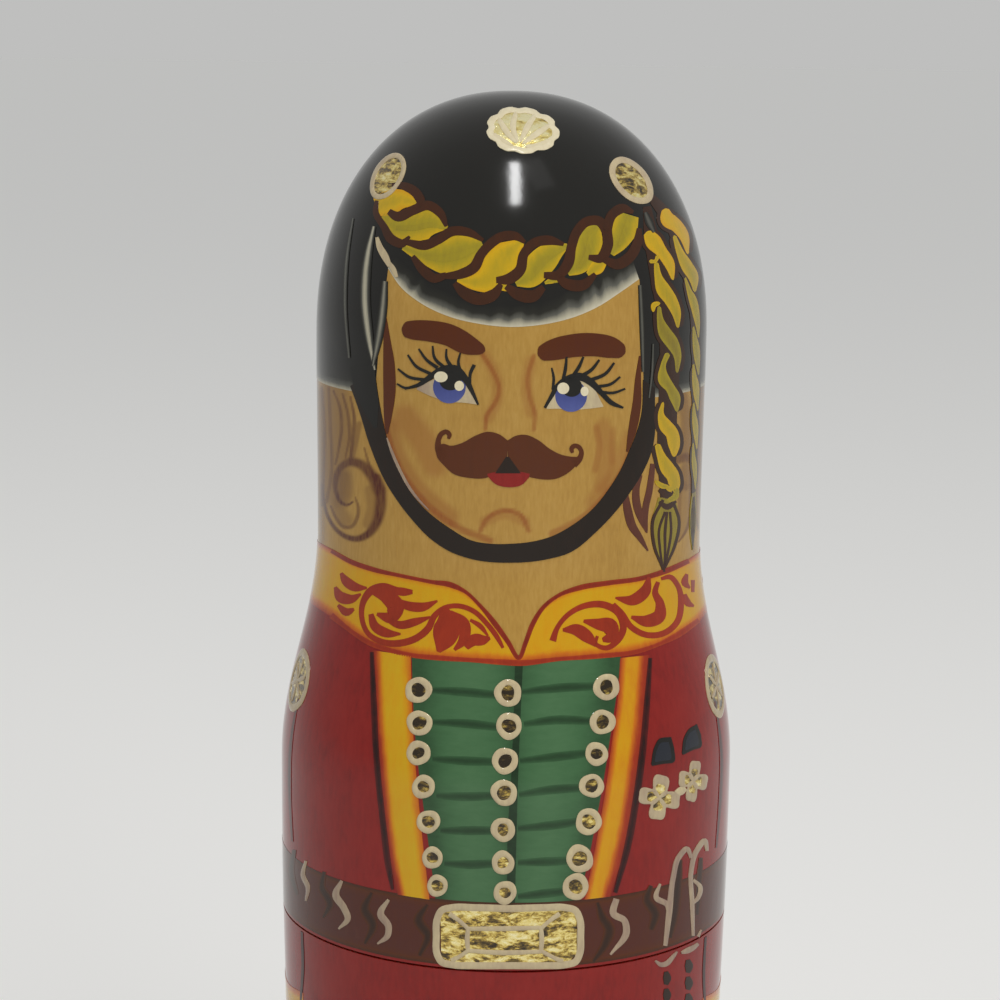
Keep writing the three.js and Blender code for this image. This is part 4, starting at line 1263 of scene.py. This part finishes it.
def solid_sheet(top, under, ringed, hub):
    """Points and faces of a thin closed solid: a grid of points, its copy underneath, and walls round
    the rim. A ringed grid joins its last column to its first; a hub closes its first row with one
    polygon."""
    n, m = top.shape[:2]
    index = np.arange(n * m).reshape(n, m)
    deep = n * m
    a, b = (index, np.roll(index, -1, 0)) if ringed else (index[:-1], index[1:])
    skin = np.stack([a[:, :-1], b[:, :-1], b[:, 1:], a[:, 1:]], -1).reshape(-1, 4)
    walls = [np.stack([a[:, -1], b[:, -1], b[:, -1] + deep, a[:, -1] + deep], -1)]
    if not hub:
        walls.append(np.stack([b[:, 0], a[:, 0], a[:, 0] + deep, b[:, 0] + deep], -1))
    if not ringed:
        first, last = index[0], index[-1]
        walls.append(np.stack([first[:-1], first[1:], first[1:] + deep, first[:-1] + deep], -1))
        walls.append(np.stack([last[1:], last[:-1], last[:-1] + deep, last[1:] + deep], -1))
    quads = np.concatenate([skin, skin[:, ::-1] + deep, *walls])
    caps = np.stack([index[::-1, 0], index[:, 0] + deep]) if hub else np.zeros((0, 3), int)
    p = np.concatenate([top.reshape(-1, 3), under.reshape(-1, 3)])
    facing = np.cross(p[skin[:, 2]] - p[skin[:, 0]], p[skin[:, 3]] - p[skin[:, 1]])
    if (facing * (p[skin[:, 0]] - p[skin[:, 0] + deep])).sum() < 0:
        quads, caps = quads[:, ::-1], caps[:, ::-1]
    return p, quads, caps


def thinned(count, step):
    """Every step-th place of count, with both ends kept."""
    return np.unique(np.concatenate([np.arange(0, count, step), [count - 1]]))


def gathered(chosen, coarse):
    """Points on the outer doll, faces and tones of some marks together, with their grids thinned to
    every coarse-th line."""
    points, quads, caps, shades, hairs, start = [], [], [], [], [], 0
    for mark in chosen:
        n, m = mark["turn"].shape
        rows = np.arange(0, n, coarse) if mark["ringed"] else thinned(n, coarse)
        pick = np.ix_(rows, thinned(m, coarse if m > NARROW else 1))
        turn, run = mark["turn"][pick], mark["run"][pick]
        top, under = surface(turn, run, mark["lift"][pick]), surface(turn, run, mark["under"])
        p, q, c = solid_sheet(top, under, mark["ringed"], mark["hub"])
        points.append(p)
        quads.append(q + start)
        if len(c):
            caps.append(c + start)
        shades.append(np.tile(mark["shade"][pick].ravel(), 2))
        hairs.append(np.tile(mark["hair"][pick].ravel(), 2))
        start += len(p)
    values = {"shade": np.concatenate(shades), "hair": np.concatenate(hairs)}
    return np.concatenate(points), [np.concatenate(quads), *caps], values


def paint_doll(name, bodies, scale, foot, coarse, fine):
    """Lays the painting on one doll: one solid for each half and paint, on that half's body."""
    for half in ("bottom", "top"):
        for paint, (material, word, slot) in PAINTS.items():
            chosen = [mark for mark in PAINTING if (mark["half"], mark["paint"]) == (half, paint)]
            chosen = [mark for mark in chosen if fine or not mark["fine"]]
            if not chosen:
                continue
            points, faces, values = gathered(chosen, coarse)
            placed = (points * scale + [0, 0, foot]) * MM
            piece = object_of(f"{name}_{half}_{word}", placed, faces, [material], values=values)
            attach(piece, bodies[half])


def turned(name, profile, inside_from, count):
    """A piece turned from a closed profile (r, z) that starts and ends on the axis. Bands between the
    two numbers of inside_from are bare wood and the rest is lacquered."""
    angle = np.linspace(0, 2 * np.pi, count, endpoint=False)
    rings = profile[1:-1]
    r, z = rings[:, None, 0], np.broadcast_to(rings[:, None, 1], (len(rings), count))
    body = np.stack([r * np.sin(angle), -r * np.cos(angle), z], -1).reshape(-1, 3)
    points = np.concatenate([[[0, 0, profile[0, 1]]], body, [[0, 0, profile[-1, 1]]]])
    index = 1 + np.arange(len(rings) * count).reshape(len(rings), count)
    after = np.roll(index, -1, 1)
    quads = np.stack([index[:-1], after[:-1], after[1:], index[1:]], -1).reshape(-1, 4)
    first = np.stack([after[0], index[0], np.zeros(count, int)], -1)
    last = np.stack([index[-1], after[-1], np.full(count, len(points) - 1)], -1)
    band = np.repeat(np.arange(1, len(rings)), count)
    bands = np.concatenate([band, np.zeros(count, int), np.full(count, len(rings))])
    bare = (bands >= inside_from[0]) & (bands < inside_from[1])
    return object_of(name, points * MM, [quads, np.concatenate([first, last])], [LINDEN, BARE], bare)


# Numbers of rings along the turned outlines, and small breaks of the wood's edges, mm.
SIDE_RINGS, CROWN_RINGS, BORE_RINGS, VAULT_RINGS = 40, 110, 24, 40
LIP_BREAK, FOOT_INSET = 0.4, 0.3
FOOT = np.array([[0, 0], [BASE_RADIUS - FOOT_BEVEL - FOOT_INSET, 0]])


def outside(low, high, count):
    """Outside of the wood between two heights as (r, z), with the room that the paint takes. Towards
    the crown the rings draw closer together."""
    if high < HEIGHT:
        r, z = outline_at(np.linspace(run_at(low), run_at(high), count), WOOD)
        z[-1] = high
    else:
        r, z = outline_at(TOP_RUN - (TOP_RUN - run_at(low)) * np.linspace(1, 0, count) ** 1.15, WOOD)
        r[-1] = 0
    if low > FOOT_BEVEL:
        z[0] = low
    return np.stack([r, z], -1)


def hollow_doll(name, scale, foot, count):
    """Both turned halves of a hollow doll, plugged together by a lip and a socket."""
    wall, floor, crown, lip = np.array(SHELLS[name]) / scale
    gap, rim = LIP_GAP / scale, SEAM + SEAM_GAP / scale
    bore = float(turned_radius(SEAM)) - wall
    lip_radius, lip_top = bore + (wall - gap) / 2, SEAM + lip
    seat = np.array([[lip_radius, SEAM], [lip_radius, lip_top - LIP_BREAK],
                     [lip_radius - LIP_BREAK, lip_top], [bore, lip_top]])
    low = np.linspace(SEAM, floor, BORE_RINGS)
    inside = np.stack([turned_radius(low, wall), low], -1)
    skin = outside(FOOT_BEVEL, SEAM, SIDE_RINGS)
    lower = np.vstack([FOOT, skin, seat, inside, [[0, floor]]])
    socket = lip_top + gap
    rise = np.linspace(socket, HEAD_HEIGHT, VAULT_RINGS)
    sides = np.stack([turned_radius(rise, wall), rise], -1)[:-1]
    vault = np.vstack([sides, dome_points(BORE_RINGS, wall, HEIGHT - crown)])
    mouth = [[lip_radius + gap, socket], [lip_radius + gap, rim]]
    upper = np.vstack([vault[::-1], mouth, outside(rim, HEIGHT, CROWN_RINGS)])
    bare_lower = (len(FOOT) + len(skin) - 1, len(lower))
    bare_upper = (0, len(vault) + len(mouth))
    for half, profile, bare in (("bottom", lower, bare_lower), ("top", upper, bare_upper)):
        profile[[0, -1], 0] = 0
        piece = turned(f"{name}_{half}_turned_linden", profile * scale + [0, foot], bare, count)
        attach(piece, f"{name}_{half}")
        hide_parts(f"{name}_{half}_half")


# The hollow dolls: the node that stands on the foot, flats round the turning, every how many lines of the
# painting's grids are kept, and whether the fine marks are painted.
for name, node_name, count, coarse, fine in (
        ("outer", "outer_bottom_half", 180, 1, True), ("second", "second_bottom_half", 128, 2, True),
        ("third", "third_bottom_half", 112, 2, False), ("fourth", "fourth_bottom_half", 96, 2, False)):
    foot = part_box(node_name)[0][2] / MM
    scale = (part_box(f"{name}_top_half")[1][2] / MM - foot) / HEIGHT
    hollow_doll(name, scale, foot, count)
    paint_doll(name, {"bottom": f"{name}_bottom", "top": f"{name}_top"}, scale, foot, coarse, fine)

# The innermost doll, turned solid.
low_corner, high_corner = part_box("innermost_doll")
foot = low_corner[2] / MM
scale = (high_corner[2] / MM - foot) / HEIGHT
whole = np.vstack([FOOT, outside(FOOT_BEVEL, HEIGHT, CROWN_RINGS)])
piece = turned("innermost_turned_linden", whole * scale + [0, foot], (len(whole), len(whole)), 96)
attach(piece, "innermost")
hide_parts("innermost_doll")
paint_doll("innermost", {"bottom": "innermost", "top": "innermost"}, scale, foot, 2, False)

# Table and room: a flat pale floor and a world of the same tone behind it, so that no edge shows.
PAPER = "#f4f2ee"
ROOM = "#bfbfbe"  # how pale the room looks behind the floor
DAYLIGHT = "#eef1f4"  # colour of the light that the room gives
ROOM_LIGHT = 0.48
PAPER_LIFT = 0.07  # how much paler the floor looks than the lamps make it
FLOOR_RADIUS = 40.0
FLOOR_SIDES = 64


def seen_rays(tree):
    """Socket that is 1 for what the eye, the gloss and the glass see, and 0 for what lights things."""
    rays = node(tree, "LightPath").outputs
    seen = node(tree, "Math", "Value", ADD, i0=rays["Is Camera Ray"], i1=rays["Is Glossy Ray"])
    return node(tree, "Math", "Value", ADD_WITHIN, i0=seen, i1=rays["Is Transmission Ray"])


# Pale matte studio paper: gives the eye an even ground that takes the doll's soft shadow.
paper, tree = blank("pale matte studio paper")
lift = node(tree, "Math", "Value", TIMES, i0=seen_rays(tree), i1=PAPER_LIFT)
shader = node(tree, "BsdfPrincipled", "BSDF", Base_Color=linear(PAPER), Roughness=1.0,
              Specular_IOR_Level=0.0, Emission_Color=linear(PAPER), Emission_Strength=lift)
node(tree, "OutputMaterial", Surface=shader)
around = np.linspace(0, 2 * np.pi, FLOOR_SIDES, endpoint=False)
disc = FLOOR_RADIUS * np.stack([np.cos(around), np.sin(around), 0 * around], -1)
object_of("studio_floor", disc, [np.arange(FLOOR_SIDES)[None]], [paper])

world = bpy.data.worlds.new("even room light")
world.use_nodes = True
tree = world.node_tree
tree.nodes.clear()
seen = seen_rays(tree)
tone = node(tree, "Mix", 2, {"data_type": "RGBA"}, i0=seen, i6=linear(DAYLIGHT), i7=linear(ROOM))
level = node(tree, "Math", "Value", TIMES_PLUS, i0=seen, i1=1 - ROOM_LIGHT, i2=ROOM_LIGHT)
node(tree, "OutputWorld", Surface=node(tree, "Background", "Background", Color=tone, Strength=level))
bpy.context.scene.world = world

# Soft studio light: even room light, one broad lamp from the front right, and a narrow strip and a dim
# pane overhead whose reflection stands on the front of the hat. Metres.
LAMP_AIM = np.array([0, 0, 0.12])
STRIP_GLINT, PANE_GLINT = (515, 181), (538, 172)  # pixels where their reflections stand
OVERHEAD = 1000.0  # distance of the lamps from the hat, mm
FRONT_RIGHT = (2.5, -3.5, 1.8)


def from_axes(right, up, back, place):
    """Matrix of an object at a place, m, that looks away from back."""
    return Matrix([[right[i], up[i], back[i], place[i]] for i in range(3)] + [[0, 0, 0, 1]])


def lamp_at(name, kind, place, shows=True, **settings):
    """A lamp with the given settings at a place, m, turned to face the doll with its long side upright.
    A lamp that doesn't show leaves no square in the gloss."""
    lamp = bpy.data.lights.new(name, kind)
    for key, value in settings.items():
        setattr(lamp, key, value)
    made = bpy.data.objects.new(name, lamp)
    back = np.asarray(place, float) - LAMP_AIM
    back /= np.linalg.norm(back)
    right = np.cross([0, 0, 1.0], back)
    right /= np.linalg.norm(right)
    made.matrix_world = from_axes(right, np.cross(back, right), back, place)
    made.visible_glossy = shows
    bpy.context.scene.collection.objects.link(made)


def mirror_place(pixel, distance):
    """The place, m, that shows in the lacquer at a pixel: the sight line turned back about the
    surface normal there, over a distance in mm."""
    turn, run = on_doll(np.array([pixel], float))
    point = surface(turn, run, 0.0)[0]
    normal = surface(turn, run, 1.0)[0] - point
    sight = point - CAMERA
    sight /= np.linalg.norm(sight)
    away = sight - 2 * (sight @ normal) * normal
    return (point + away * distance) * MM


lamp_at("ceiling_strip", "AREA", mirror_place(STRIP_GLINT, OVERHEAD), shape="RECTANGLE", size=0.095,
        size_y=0.46, energy=4.8)
lamp_at("dim_pane", "AREA", mirror_place(PANE_GLINT, OVERHEAD), shape="RECTANGLE", size=0.2, size_y=0.34,
        energy=0.12)
lamp_at("broad_front", "SUN", FRONT_RIGHT, shows=False, energy=0.82, angle=np.radians(36))

# The photograph's camera.
SENSOR = 36.0
lens = bpy.data.cameras.new("photo camera")
lens.sensor_width = SENSOR
lens.lens = LENS_PX / PICTURE * SENSOR
lens.clip_start = 0.01
eye = bpy.data.objects.new("photo camera", lens)
eye.matrix_world = from_axes(IMAGE_RIGHT, IMAGE_UP, -AHEAD, CAMERA * MM)
bpy.context.scene.collection.objects.link(eye)
bpy.context.scene.camera = eye
bpy.context.scene.view_settings.view_transform = "Standard"

bpy.context.view_layer.update()
